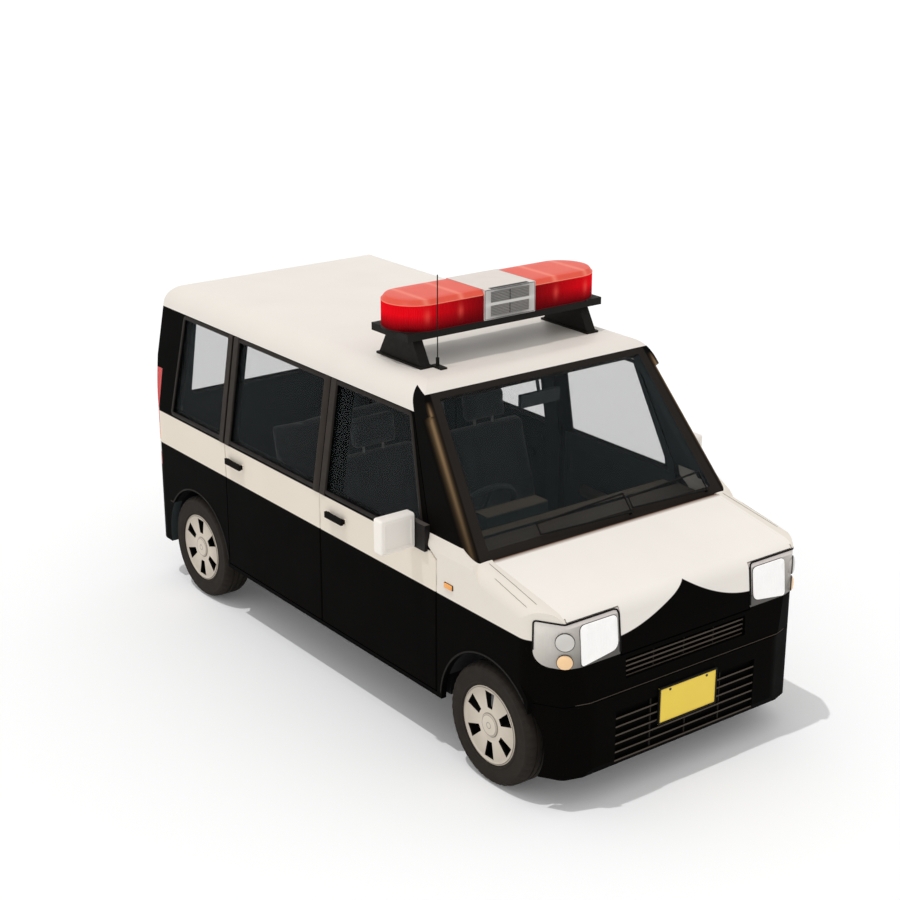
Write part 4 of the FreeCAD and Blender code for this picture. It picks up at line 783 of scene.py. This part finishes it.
def louvres(low, high):
    """Slanted slats in the centre box's two openings, posts between them and a thin edge round the front."""
    front = high.x
    count = 7
    slats = Shape()
    posts = Shape()
    for bottom, top in ((1.743, 1.791), (1.805, 1.853)):
        for index in range(count):
            z = bottom + (top - bottom) / count * (index + 0.5)
            blade = [(front - back, z + lift) for back, lift in (
                (0.0115, 0.0030), (0.0100, 0.0042), (0.0008, -0.0002), (0.0008, -0.0026), (0.0022, -0.0028))]
            slats.across(blade, -SPEAKER_HALF, -0.0012).across(blade, 0.0012, SPEAKER_HALF)
        posts.box((front - 0.0115, -0.0012, bottom + 0.0002), (front - 0.0005, 0.0012, top - 0.0002))
    slats.piece("speaker_slats", "slat")
    posts.piece("speaker_posts", "gap", bevel=0.0003)
    Shape().moulding(rectangle(low.y, low.z, high.y, high.z), lambda u, w, out: Vector((front + out, u, w)),
                     -0.0045, -0.0028, 0.0005, 0.001, 0.9).piece("speaker_edge", "gap")
    joint = Shape()
    for y in (low.y, high.y):
        joint.box((low.x + 0.004, y - 0.0006, high.z - 0.0004), (front - 0.004, y + 0.0006, high.z + 0.0006))
    joint.piece("speaker_joint", "seam")


# Side windows, posts and small body trim

def side_trim(side, sign):
    """Window seals, the posts between the windows and the marker lamp on the fender."""
    place = lambda u, w, out: on_side(sign, u, w, out)
    windows = {"front_door": (0.0275, 0.773, 0.584, 0.0275),
               "rear_door": (-0.8265, -0.0685, -0.0685, -0.8265),
               "root": (-1.4075, -0.9225, -0.9225, -1.3625)}
    owner = {body: body if body == "root" else body + "_" + side for body in windows}
    for body, corners in windows.items():
        outline = list(zip(corners, (GLASS_LOW, GLASS_LOW, GLASS_HIGH, GLASS_HIGH)))
        Shape().moulding(rounded(outline, 0.012, 3), place, -0.004, 0.013, 0.004).piece(
            "window_seal_%s_%s" % (body, side), "frame", owner[body])
    posts = (("front_door", -0.0145, 0.0275), ("rear_door", -0.0685, -0.0265),
             ("rear_door", -0.8685, -0.8265), ("root", -0.9225, -0.8835))
    sink = -0.002
    for index, (body, start, end) in enumerate(posts):
        rings = []
        for z, out in ((0.922, sink), (0.924, 0.006), (1.4535, 0.006), (1.4555, sink)):
            section = [(start, sink), (start, out), (end, out), (end, sink)]
            if index == 1:  # chamfer that lets the front door's edge swing past
                section[2:3] = [(end - 0.012, out), (end, min(out, -0.0005))]
            rings.append([on_side(sign, x, z, rise) for x, rise in section])
        Shape().loft(rings).piece("door_post_%d_%s" % (index, side), "post", owner[body], bevel=0.0015)
    tree = surface("fender_" + side)
    outline = rounded(rectangle(-0.028, -0.011, 0.028, 0.011), 0.006, 3)
    for name, look, profile in (
            ("rim", "black", ((1.12, -0.001), (1.12, 0.002), (1.0, 0.003))),
            ("lens", "marker_lens", ((0.98, -0.001), (0.98, 0.005), (0.85, 0.0075), (0.4, 0.0085)))):
        Shape().button(tree, (0.9565, sign * 0.8, 0.804), (0, -sign, 0), outline, profile).piece(
            "marker_%s_%s" % (name, side), look)


def mirror_trim(side, sign):
    """Raised lid edge on the front of the mirror shell and the glass behind it."""
    body = "front_door_" + side
    outline = rounded(rectangle(-0.0735, -0.0645, 0.0735, 0.0645), 0.010, 3)
    Shape().moulding(outline, lambda u, w, out: Vector((0.7445 + out, sign * (0.8395 - u), 0.9905 + w)),
                     -0.010, 0.000, 0.002).piece("mirror_lid_" + side, "mirror_white", body)
    Shape().dome(lambda u, w, lift: (0.6825 - lift, sign * (0.8395 - u), 0.9905 + w), outline,
                 ((0.9, -0.002), (0.9, 0.002), (0.88, 0.003), (0.4, 0.0028))).piece(
        "mirror_pane_" + side, "mirror_glass", body)


# Cabin: padded seats, dashboard fittings and steering wheel pad

SEAM_HALF = 0.0075
CLOTH_FRAMES = 20


def swell(obj, seams, reach):
    """Inflates a closed mesh as cloth under pressure, held along its seams; moves are capped at reach."""
    rest = [vert.co.copy() for vert in obj.data.vertices]
    held = obj.vertex_groups.new(name="held")
    for vert in obj.data.vertices:
        if any(abs(vert.co[axis] - place) < SEAM_HALF for axis, place in seams):
            held.add([vert.index], 1.0, "REPLACE")
    modifier = obj.modifiers.new("cloth", "CLOTH")
    settings = modifier.settings
    settings.quality = 4
    settings.use_pressure = True
    settings.uniform_pressure_force = 4.0
    settings.vertex_group_mass = "held"
    settings.effector_weights.gravity = 0.0
    scene = bpy.context.scene
    for frame_number in range(1, CLOTH_FRAMES + 1):
        scene.frame_set(frame_number)
    shaped = evaluated(obj).to_mesh()
    moved = [vert.co.copy() for vert in shaped.vertices]
    evaluated(obj).to_mesh_clear()
    obj.modifiers.remove(modifier)
    scene.frame_set(1)
    for vert, start, end in zip(obj.data.vertices, rest, moved):
        way = end - start
        vert.co = start + way * min(1.0, reach / max(way.length, 1e-9))


def pad(name, section, span, seams, reach=0.012, replaced="front_seats", shifts=(0.0,)):
    """Padded piece: a section in x and z drawn across a span of y, rounded, inflated and smoothed."""
    block = Shape().across(rounded(section, 0.03, 3), span[0] + 0.006, span[1] - 0.006).piece(
        name + "_blank", "cloth")
    edge = block.modifiers.new("edge", "BEVEL")
    edge.width = 0.02
    edge.segments = 3
    edge.limit_method = "ANGLE"
    grid = block.modifiers.new("grid", "REMESH")
    grid.mode = "VOXEL"
    grid.voxel_size = 0.0125
    obj = place_mesh(name, bpy.data.meshes.new_from_object(evaluated(block)), "cloth")
    bpy.data.objects.remove(block)
    swell(obj, seams, reach)
    smooth = obj.modifiers.new("smooth", "SUBSURF")
    smooth.levels = smooth.render_levels = 1
    mesh = bpy.data.meshes.new_from_object(evaluated(obj))
    bpy.data.objects.remove(obj)
    mesh.polygons.foreach_set("use_smooth", [True] * len(mesh.polygons))
    for suffix, shift in zip(("_right", "_left") if len(shifts) > 1 else ("",), shifts):
        copy = mesh.copy() if shift else mesh
        for vert in copy.vertices:
            vert.co.y += shift
        piece = place_mesh(name + suffix, copy, "cloth")
        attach(piece, "root")
        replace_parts(piece, replaced)


def seats():
    """Two front seats and the bench: padded cloth on frames and posts."""
    near = -0.330
    sides = (0.0, 0.660)
    seams = [(1, near - 0.120), (1, near + 0.120)]
    seat = (near - 0.228, near + 0.228)
    bench = (-0.518, 0.518)
    folds = [(1, -0.175), (1, 0.175)]
    pad("seat_cushion", [(0.414, 0.408), (0.414, 0.540), (-0.070, 0.522), (-0.070, 0.408)],
        seat, seams + [(0, 0.165)], shifts=sides)
    pad("seat_back", [(-0.068, 0.470), (0.026, 0.470), (-0.148, 1.000), (-0.218, 1.000)],
        seat, seams + [(2, 0.690)], shifts=sides)
    pad("head_rest", [(-0.205, 1.030), (-0.138, 1.030), (-0.162, 1.172), (-0.224, 1.172)],
        (near - 0.118, near + 0.118), [], 0.008, shifts=sides)
    pad("bench_cushion", [(-0.336, 0.408), (-0.336, 0.540), (-0.708, 0.522), (-0.708, 0.408)],
        bench, folds + [(0, -0.530)], replaced="rear_bench")
    pad("bench_back", [(-0.708, 0.470), (-0.612, 0.470), (-0.748, 0.992), (-0.818, 0.992)],
        bench, folds + [(2, 0.720)], replaced="rear_bench")
    frames = Shape()
    posts = Shape()
    for shift in sides:
        y = near + shift
        for foot in (y - 0.15, y + 0.15):
            frames.box((0.02, foot - 0.018, 0.300), (0.34, foot + 0.018, 0.325))
            frames.box((0.04, foot - 0.012, 0.325), (0.32, foot + 0.012, 0.402))
        frames.box((-0.04, y - 0.205, 0.385), (0.38, y + 0.205, 0.405))
        for post in (y - 0.055, y + 0.055):
            posts.loft([[(-0.178 + u, post + w, z) for u, w in circle(0.006, 14)] for z in (0.985, 1.045)])
    base = frames.piece("seat_frames", "trim", bevel=0.003)
    rods = posts.piece("head_rest_posts", "bright")
    box = Shape()
    for y in (-0.36, 0.0, 0.36):
        box.box((-0.63, y - 0.02, 0.300), (-0.40, y + 0.02, 0.402))
    legs = box.box((-0.69, -0.49, 0.388), (-0.35, 0.49, 0.405)).piece("bench_frame", "trim", bevel=0.003)
    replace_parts(base, "front_seats")
    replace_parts(rods, "front_seats")
    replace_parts(legs, "rear_bench")


def cabin_trim():
    """Dashboard vents, centre panel, knobs, glove box line, dials and the steering wheel's pad."""
    slope = 1.111
    vents = Shape()
    bezels = Shape()
    lean = lambda u, w, out: Vector((0.750 + (w - 0.885) * slope - out, u, w))
    for y in (-0.545, -0.075, 0.075, 0.545):
        outline = rounded(rectangle(y - 0.05, 0.862, y + 0.05, 0.908), 0.008, 3)
        bezels.moulding(outline, lean, -0.004, 0.004, 0.005, 0.002)
        for index in range(4):
            rise = index * 0.0107
            x = 0.7335 + rise * slope
            vents.box((x, y - 0.045, 0.869 + rise), (x + 0.005, y + 0.045, 0.872 + rise))
    bezels.piece("vent_bezels", "black")
    vents.piece("vent_slats", "gap", bevel=0.0006)
    Shape().across([(0.668, 0.775), (0.668, 0.835), (0.672, 0.838), (0.672, 0.772)], -0.105, 0.105).piece(
        "centre_panel", "black", bevel=0.001)
    knobs = Shape()
    for y in (-0.06, 0.0, 0.06):
        knobs.dome(lambda u, w, lift: (0.668 - lift, y + u, 0.745 + w), circle(0.015, 20),
                   ((1.0, -0.003), (1.0, 0.008), (0.85, 0.016), (0.6, 0.0165)))
    knobs.piece("heater_knobs", "trim")
    Shape().moulding(rounded(rectangle(0.20, 0.70, 0.56, 0.825), 0.012, 3),
                     lambda u, w, out: Vector((0.670 - out + max(0.76 - w, 0) * 0.333, u, w)),
                     -0.003, 0.0, 0.003, 0.004).piece("glove_box_line", "trim")
    dials = Shape()
    for y in (-0.300, -0.190):
        dials.dome(lambda u, w, lift: (0.706 - lift, y + u, 0.944 + w), circle(0.038, 30),
                   ((1.0, -0.002), (1.0, 0.004), (0.94, 0.005), (0.93, 0.001), (0.3, 0.0012), (0.12, 0.004),
                    (0.1, 0.0042)))
    dials.piece("instrument_dials", "black")
    hub = Vector((0.585, -0.290, 0.905))
    tilt = math.radians(32)
    axis = Vector((-math.cos(tilt), 0, math.sin(tilt)))
    across = Vector((0, 1, 0))
    high = axis.cross(across)
    outline = rounded([(-0.075, -0.045), (0.075, -0.045), (0.06, 0.05), (-0.06, 0.05)], 0.02, 4)
    profile = ((0.9, -0.03), (1.0, -0.012), (1.0, 0.004), (0.9, 0.011), (0.5, 0.0135))
    Shape().dome(lambda u, w, lift: hub + across * u + high * w + axis * lift, outline, profile,
                 first_cap=True).piece("horn_pad", "trim", "hand_wheel")


# Front

def headlamp(side, sign):
    """Main lens with its rim, bulb and turn lamp at the outer end, and the seal round three sides."""
    tree = surface("headlamps")
    corners = ((-0.097, -0.087), (0.097, -0.060), (0.097, 0.086), (-0.097, 0.086))
    outline = rounded([(sign * -u, w) for u, w in corners], (0.020, 0.034, 0.026, 0.026), 5)
    for name, look, profile in (
            ("lens_rim_", "steel", ((1.018, -0.001), (1.018, 0.0015), (1.0, 0.002))),
            ("head_lens_", "white_lens", ((0.995, -0.001), (0.995, 0.004), (0.96, 0.0065), (0.6, 0.008),
                                          (0.25, 0.0085)))):
        Shape().button(tree, (1.9, sign * 0.482, 0.733), (-1, 0, 0), outline, profile).piece(
            name + side, look)
    out = Vector((0.745, sign * 0.667, 0))
    for name, centre, radius, look in (("bulb", (1.5745, 0.632, 0.763), 0.0385, "bulb"),
                                       ("turn", (1.5755, 0.631, 0.6765), 0.0325, "amber_lens")):
        target = Vector((centre[0], sign * centre[1], centre[2]))
        middle = cast(tree, target + out * 0.2, -out)[0] + out * 0.003
        level = UP.cross(out).normalized()
        floor_drop = 0.6475 - middle.z
        put = lambda u, w, rise: middle + level * u + UP * max(w, floor_drop) + out * rise
        barrel = ((1.0, -0.03), (1.0, 0.0), (0.9, 0.0005))
        ring = ((1.0, -0.004), (1.05, -0.003), (1.05, 0.0015), (0.985, 0.002), (0.97, 0.0))
        front = ((0.985, -0.001), (0.975, 0.002), (0.86, 0.006), (0.6, 0.009), (0.25, 0.0105))
        for part, finish, profile in (
                ("barrel", "reflector", barrel), ("ring", "steel", ring), ("lens", look, front)):
            Shape().dome(put, circle(radius), profile, last_cap=part != "ring").piece(
                "%s_%s_%s" % (name, part, side), finish)
    path = ((1.4835, 0.735, 0.712), (1.4835, 0.735, 0.815), (1.4845, 0.734, 0.829), (1.493, 0.72, LAMP_TOP),
            (1.5085, 0.697, LAMP_TOP), (1.5725, 0.633, LAMP_TOP), (1.5945, 0.523, LAMP_TOP),
            (1.5965, 0.392, LAMP_TOP), (1.5965, 0.378, 0.833), (1.5965, 0.3725, 0.818),
            (1.5985, 0.3725, 0.78), (1.60, 0.3725, 0.71), (1.60, 0.3725, 0.655))
    Shape().strip(tree, [(x, sign * y, z) for x, y, z in path], 0.0042, 0.0028, 0.006, taper=False,
                  centre=(1.30, sign * 0.40)).piece("lamp_seal_" + side, "black")


def grilles():
    """Thin brown edges on the ribs of both grilles, painted highlights where the ribs catch light; faint
    uprights; and a painted highlight line along the crease above the bumper.
    """
    edges = Shape()
    uprights = Shape()
    for half, low, high, count, face in ((0.341, 0.528, 0.616, 5, 1.602), (0.398, 0.172, 0.402, 7, 1.626)):
        for index in range(count):
            z = low + (high - low) / (count - 1) * index
            edges.box((face - 0.002, -half, z - 0.002), (face + 0.0015, half, z + 0.0045))
        for y in (-half * 0.5, 0.0, half * 0.5):
            uprights.box((face - 0.013, y - 0.002, low), (face - 0.004, y + 0.002, high))
    edges.piece("grille_edge_highlights", "rib", bevel=0.0005)
    uprights.piece("grille_uprights", "frame", bevel=0.0005)
    path = [(1.625, y, 0.4795) for y in (-0.605, -0.3, 0.0, 0.3, 0.605)]
    Shape().strip(surface("nose_panel"), path, 0.0016, 0.0008).piece("bumper_crease_highlight", "rib")


def fender_lines():
    """Pressed lines along the top of each fender, coloured grey as painted shade in the creases."""
    for side, sign in SIDES.items():
        tree = surface("fender_" + side)
        shape = Shape()
        for half, path in ((0.0016, ((1.135, 0.668, 0.951), (1.30, 0.674, 0.919), (1.46, 0.682, 0.888))),
                           (0.0014, ((1.221, 0.711, 0.934), (1.36, 0.722, 0.908), (1.44, 0.728, 0.892)))):
            shape.strip(tree, [(x, sign * y, z) for x, y, z in path], half, 0.0009)
        shape.piece("fender_lines_" + side, "seam")


def bonnet_edges():
    """Folded edge of the bonnet that lies over the gap beside each fender."""
    tree = surface("bonnet")
    start, end, edge, steps = 1.132, 1.588, 0.630, 32
    shape = Shape()
    for sign in (-1, 1):
        rings = []
        for step in range(steps + 1):
            hit = cast(tree, (start + (end - start) * step / steps, sign * edge, 1.3), (0, 0, -1))
            if not hit:
                break
            foot, normal = hit
            rings.append([foot + Vector((0, sign * shift, 0)) + normal * lift for shift, lift in (
                (-0.0015, -0.0002), (-0.0005, 0.0007), (0.0140, 0.0007), (0.0145, 0.0001))])
        shape.loft(rings)
    shape.piece("bonnet_edges", "nose", "bonnet_lid")


def number_plate(name, x, z_low, z_high, sign, body):
    """Raised rim, pressed rib and two screws on a blank plate."""
    half = 0.165
    place = lambda u, w, out: Vector((x + sign * out, u, w))
    outline = rounded(rectangle(-half, z_low, half, z_high), 0.008, 3)
    Shape().moulding(outline, place, -0.006, 0.003, 0.003, 0.006).piece(name + "_frame", "black", body)
    Shape().moulding(outline, place, -0.0125, -0.0105, 0.0009, 0.001).piece(name + "_rib", "plate", body)
    screws = Shape()
    for y in (-0.105, 0.105):
        screws.dome(lambda u, w, lift: place(y + u, z_high - 0.017 + w, lift), circle(0.006, 16),
                    ((1.0, -0.001), (1.0, 0.002), (0.7, 0.003), (0.2, 0.0028)))
    screws.piece(name + "_screws", "steel", body)


# Wheels, arches, rear end, doors and mechanics

def tyre(name, axle, sign, body):
    """Lathed tyre with ridged side walls, three grooves and notched shoulders."""
    half = 0.0775
    wall = [(radius, half - inset) for radius, inset in (
        (0.172, 0.007), (0.179, 0.004), (0.182, 0.0015), (0.186, 0.0015), (0.189, 0.003), (0.205, 0.001),
        (0.222, 0.0), (0.238, 0.0015), (0.241, 0.0005), (0.245, 0.001), (0.254, 0.006), (0.2625, 0.018),
        (0.2652, 0.028))]
    groove = ((0.2658, 0.0045), (0.2600, 0.0035), (0.2600, -0.0035), (0.2658, -0.0045))
    outer = wall + [(radius, 0.030 + shift) for radius, shift in groove]
    profile = outer + list(groove) + [(radius, -offset) for radius, offset in reversed(outer)]
    count = 132
    rings = []
    for index in range(count):
        ring = []
        for radius, offset in profile:
            notch = 0.0045 if index % 3 == 0 and abs(offset) > 0.036 and radius > 0.25 else 0.0
            ring.append(round_axle(axle, sign * (WHEEL_CENTRE + offset), radius - notch,
                                   2 * math.pi * index / count))
        rings.append(ring)
    piece = Shape().loft(rings + rings[:1], first_cap=False, last_cap=False).piece(
        "tread_" + name, "rubber", body, smooth=30.0)
    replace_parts(piece, "tyre_" + name)


def arch_lips(side, sign):
    """Rolled edge round each wheel arch."""
    shape = Shape()
    end = 176
    for axle, radius, start, name in ((FRONT_AXLE, 0.317, 40, "fender_"),
                                      (REAR_AXLE, 0.308, 6, "side_frame_")):
        tree = surface(name + side)
        angles = [math.radians(start + (end - start) * step / 40) for step in range(41)]
        path = [tree.find_nearest(round_axle(axle, sign * 0.76, radius, angle))[0] for angle in angles]
        shape.strip(tree, path, 0.0045, 0.0022, step=0.05)
    shape.piece("arch_lips_" + side, "bar")


def wheel_liner(side, sign):
    """Thin liner over the front wheel out to the panels, with a slot where the strut passes."""
    inside, outside, widest = 0.318, 0.321, 0.711
    trees = [surface(name) for name in ("fender_" + side, "side_frame_" + side, "bumper_front")]
    angles = [math.radians(22 + 138 * step / 48) for step in range(49)]
    reach = []
    for angle in angles:
        spot = round_axle(FRONT_AXLE, sign * 0.6, (inside + outside) / 2, angle)
        hits = [cast(tree, spot, (0, sign, 0)) for tree in trees]
        reach.append(min([abs(hit[0].y) - 0.0015 for hit in hits if hit] + [widest]))
    rings = []
    for step, angle in enumerate(angles):
        slot = min(max((16.0 - abs(math.degrees(angle) - 90)) / 4.0, 0.0), 1.0)  # 1 over the strut
        inner = 0.445 + 0.115 * slot
        outer = min(reach[max(step - 1, 0):step + 2])
        rings.append([round_axle(FRONT_AXLE, sign * y, radius, angle) for radius, y in (
            (inside, inner), (inside, outer), (outside, outer), (outside, inner))])
    Shape().loft(rings).piece("wheel_liner_" + side, "underbody")


def load_sill():
    """Sill trim between the end of the load floor and the rear bumper."""
    outline = ((-1.584, 0.425), (-1.566, 0.425), (-1.566, 0.4545), (-1.569, 0.4545), (-1.569, 0.428),
               (-1.584, 0.428))
    Shape().across(outline, -0.62, 0.62).piece("load_sill", "trim")


def rear_end():
    """Gate handle bar with plate lamps, glass seal, high brake lamp, bumper reflectors and ribs."""
    outline = rounded([(-1.612, 0.776), (-1.612, 0.812), (-1.644, 0.812), (-1.650, 0.790), (-1.640, 0.776)],
                      0.005, 3)
    Shape().across(outline, -0.215, 0.215).piece("gate_handle", "bar", "rear_gate", bevel=0.002)
    lamps = Shape()
    for y in (-0.12, 0.12):
        lamps.dome(lambda u, w, lift: (-1.635 + u * 0.5, y + w, 0.7765 - lift), circle(0.018, 20),
                   ((1.0, -0.002), (1.0, 0.002), (0.8, 0.004), (0.3, 0.0045)))
    lamps.piece("plate_lamps", "white_lens", "rear_gate")
    outline = rounded([(-0.530, 0.960), (0.530, 0.960), (0.485, 1.420), (-0.485, 1.420)], 0.04, 5)
    place = lambda u, w, out: Vector((-1.630 + max(w - SHOULDER, 0.0) * 0.06 - out, u, w))
    Shape().moulding(outline, place, -0.006, 0.012, 0.004).piece("gate_glass_seal", "frame", "rear_gate")
    forward = (1, 0, 0)
    outline = rounded(rectangle(-0.09, -0.009, 0.09, 0.009), 0.005, 3)
    Shape().button(surface("tailgate"), (-1.9, 0.0, 1.448), forward, outline,
                   ((1.0, -0.001), (1.0, 0.006), (0.96, 0.008), (0.5, 0.0085))).piece(
        "high_brake_lamp", "rear_red", "rear_gate")
    bumper = surface("bumper_rear")
    outline = rounded(rectangle(-0.045, -0.014, 0.045, 0.014), 0.006, 3)
    reflectors = Shape()
    for y in (-0.50, 0.50):
        reflectors.button(bumper, (-1.9, y, 0.345), forward, outline,
                          ((1.0, -0.001), (1.0, 0.003), (0.95, 0.0045), (0.5, 0.005)))
    reflectors.piece("bumper_reflectors", "rear_red")
    ribs = Shape()
    for z in (0.415, 0.262):
        ribs.strip(bumper, [(-1.65, y, z) for y in (-0.60, -0.2, 0.2, 0.60)], 0.003, 0.0015)
    ribs.piece("bumper_ribs", "bar")


def door_cards(side, sign):
    """Inner panel, arm rest and pull on each door."""
    for door, low_x, high_x in (("front_door", 0.075, 0.790), ("rear_door", -0.790, -0.105)):
        body = door + "_" + side
        tail = "_%s_%s" % (door, side)
        outline = rounded(rectangle(low_x, 0.405, high_x, 0.880), 0.04, 5)
        Shape().terrace(lambda u, w, rise: (u, sign * (0.6875 - rise), w), outline,
                        ((0.0, -0.002), (0.0, 0.003), (0.006, 0.007), (0.03, 0.008)), first_cap=False).piece(
            "door_card" + tail, "trim", body)
        start = low_x + 0.12
        end = start + 0.34
        section = rounded([(0.6825, 0.655), (0.640, 0.660), (0.636, 0.700), (0.6825, 0.710)], 0.012, 3)
        rings = [[(x, sign * (y + shift), z) for y, z in section]
                 for x, shift in ((start, 0.006), (start + 0.02, 0.0), (end - 0.02, 0.0), (end, 0.006))]
        Shape().loft(rings).piece("arm_rest" + tail, "binnacle", body, bevel=0.002)
        bowl = ((1.0, -0.002), (1.0, 0.003), (0.85, 0.005), (0.8, 0.001), (0.3, 0.001))
        Shape().dome(lambda u, w, lift: (end + 0.10 + u, sign * (0.681 - lift), 0.765 + w * 0.6),
                     circle(0.04, 24), bowl).piece("inner_handle" + tail, "black", body)


def mechanics():
    """Engine and fuel tank, built up from cast and pressed forms."""
    engine = Shape()
    engine.box((1.165, -0.200, 0.272), (1.425, 0.200, 0.365))
    engine.box((1.135, -0.290, 0.360), (1.455, 0.290, 0.510))
    engine.box((1.155, -0.270, 0.505), (1.435, 0.270, 0.625))
    for index in range(9):
        y = -0.24 + index * 0.06
        for x in (1.124, 1.450):
            engine.box((x, y - 0.006, 0.375), (x + 0.016, y + 0.006, 0.500))
    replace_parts(engine.piece("engine_casting", "steel", bevel=0.006), "engine_block")
    plan = lambda x, y, z: (x, y, z)
    cover = Shape()
    cover.terrace(plan, rounded(rectangle(1.175, -0.25, 1.415, 0.25), 0.03, 4),
                  ((0.0, 0.620), (0.0, 0.655), (0.004, 0.662), (0.012, 0.666)))
    for index in range(7):
        y = -0.18 + index * 0.06
        cover.box((1.195, y - 0.008, 0.664), (1.395, y + 0.008, 0.672))
    cover.dome(lambda u, w, z: (1.37 + u, 0.215 + w, z), circle(0.022, 20),
               ((1.0, 0.660), (1.0, 0.682), (0.85, 0.686)), first_cap=True)
    cover.piece("engine_cover", "black", bevel=0.002)
    profile = ((0.014, 0.1655), (0.004, 0.170), (0.0, 0.182), (0.0, 0.212), (0.0, 0.214), (0.0, 0.258),
               (0.006, 0.270), (0.016, 0.2745))
    tank = Shape().terrace(plan, rounded(rectangle(-0.650, -0.250, -0.090, 0.120), 0.045, 5), profile)
    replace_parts(tank.piece("tank_shell", "tank"), "fuel_tank")
    straps = Shape()
    for x in (-0.52, -0.22):
        straps.box((x - 0.016, -0.2505, 0.1635), (x + 0.016, 0.1205, 0.1665))
        for y in (-0.2525, 0.1195):
            straps.box((x - 0.016, y, 0.1635), (x + 0.016, y + 0.003, 0.275))
    straps.piece("tank_straps", "steel", bevel=0.0008)


# Studio

def seen_ray(nodes, links):
    """Socket that is 1 where the camera looks, straight, by a reflection or through glass."""
    path = nodes.new("ShaderNodeLightPath")
    seen = path.outputs["Is Camera Ray"]
    for name in ("Is Glossy Ray", "Is Transmission Ray"):
        pick = nodes.new("ShaderNodeMath")
        pick.operation = "MAXIMUM"
        links.new(seen, pick.inputs[0])
        links.new(path.outputs[name], pick.inputs[1])
        seen = pick.outputs[0]
    return seen


def aim(obj, way):
    """Turns a camera or a lamp along a direction and links it to the scene."""
    obj.rotation_euler = Vector(way).to_track_quat("-Z", "Y").to_euler()
    bpy.context.scene.collection.objects.link(obj)


def studio():
    """White surroundings, one soft sun and a white floor."""
    scene = bpy.context.scene
    scene.view_settings.view_transform = "Standard"
    world = bpy.data.worlds.new("studio")
    scene.world = world
    world.use_nodes = True
    nodes = world.node_tree.nodes
    links = world.node_tree.links
    strength = nodes.new("ShaderNodeMapRange")
    strength.inputs["To Min"].default_value = 0.7
    strength.inputs["To Max"].default_value = 1.0
    links.new(seen_ray(nodes, links), strength.inputs["Value"])
    background = nodes["Background"]
    background.inputs["Color"].default_value = (1, 1, 1, 1)
    links.new(strength.outputs["Result"], background.inputs["Strength"])
    lamp = bpy.data.lights.new("key", "SUN")
    lamp.energy = 1.0
    lamp.angle = math.radians(0.8)
    aim(bpy.data.objects.new("key", lamp), (0.1, 0.27, -1))
    look = Look("floor_white", (255, 255, 255), 0.9, gloss=0.0)
    look.set("Base Color", look.wear((255, 255, 255), 0.004, 0.5))
    look.set("Emission Color", (1, 1, 1, 1))
    look.set("Emission Strength", look.times(seen_ray(look.nodes, look.links), 0.05))
    MATERIALS["floor"] = look.material
    reach = 60.0
    mesh = bpy.data.meshes.new("floor")
    mesh.from_pydata([(u, w, 0) for u, w in rectangle(-reach, -reach, reach, reach)], [], [(0, 1, 2, 3)])
    place_mesh("floor", mesh, "floor")


def camera():
    """The photograph's view."""
    data = bpy.data.cameras.new("photo_view")
    data.sensor_width = 36.0
    data.lens = 69.56
    view = bpy.data.objects.new("photo_view", data)
    view.location = (6.2378, -4.7057, 3.7193)
    aim(view, (-0.7539625, 0.56746716, -0.33094044))
    bpy.context.scene.camera = view


camera()
studio()
light_bar()
grilles()
fender_lines()
bonnet_edges()
for side, sign in SIDES.items():
    side_trim(side, sign)
    mirror_trim(side, sign)
    headlamp(side, sign)
    arch_lips(side, sign)
    wheel_liner(side, sign)
    door_cards(side, sign)
    tyre("front_" + side, FRONT_AXLE, sign, "front_wheel_" + side)
    tyre("rear_" + side, REAR_AXLE, sign, "rear_wheel_" + side)
load_sill()
rear_end()
mechanics()
seats()
cabin_trim()
number_plate("plate_front", 1.636, 0.268, 0.432, 1, "root")
number_plate("plate_rear", -1.636, 0.600, 0.765, -1, "rear_gate")
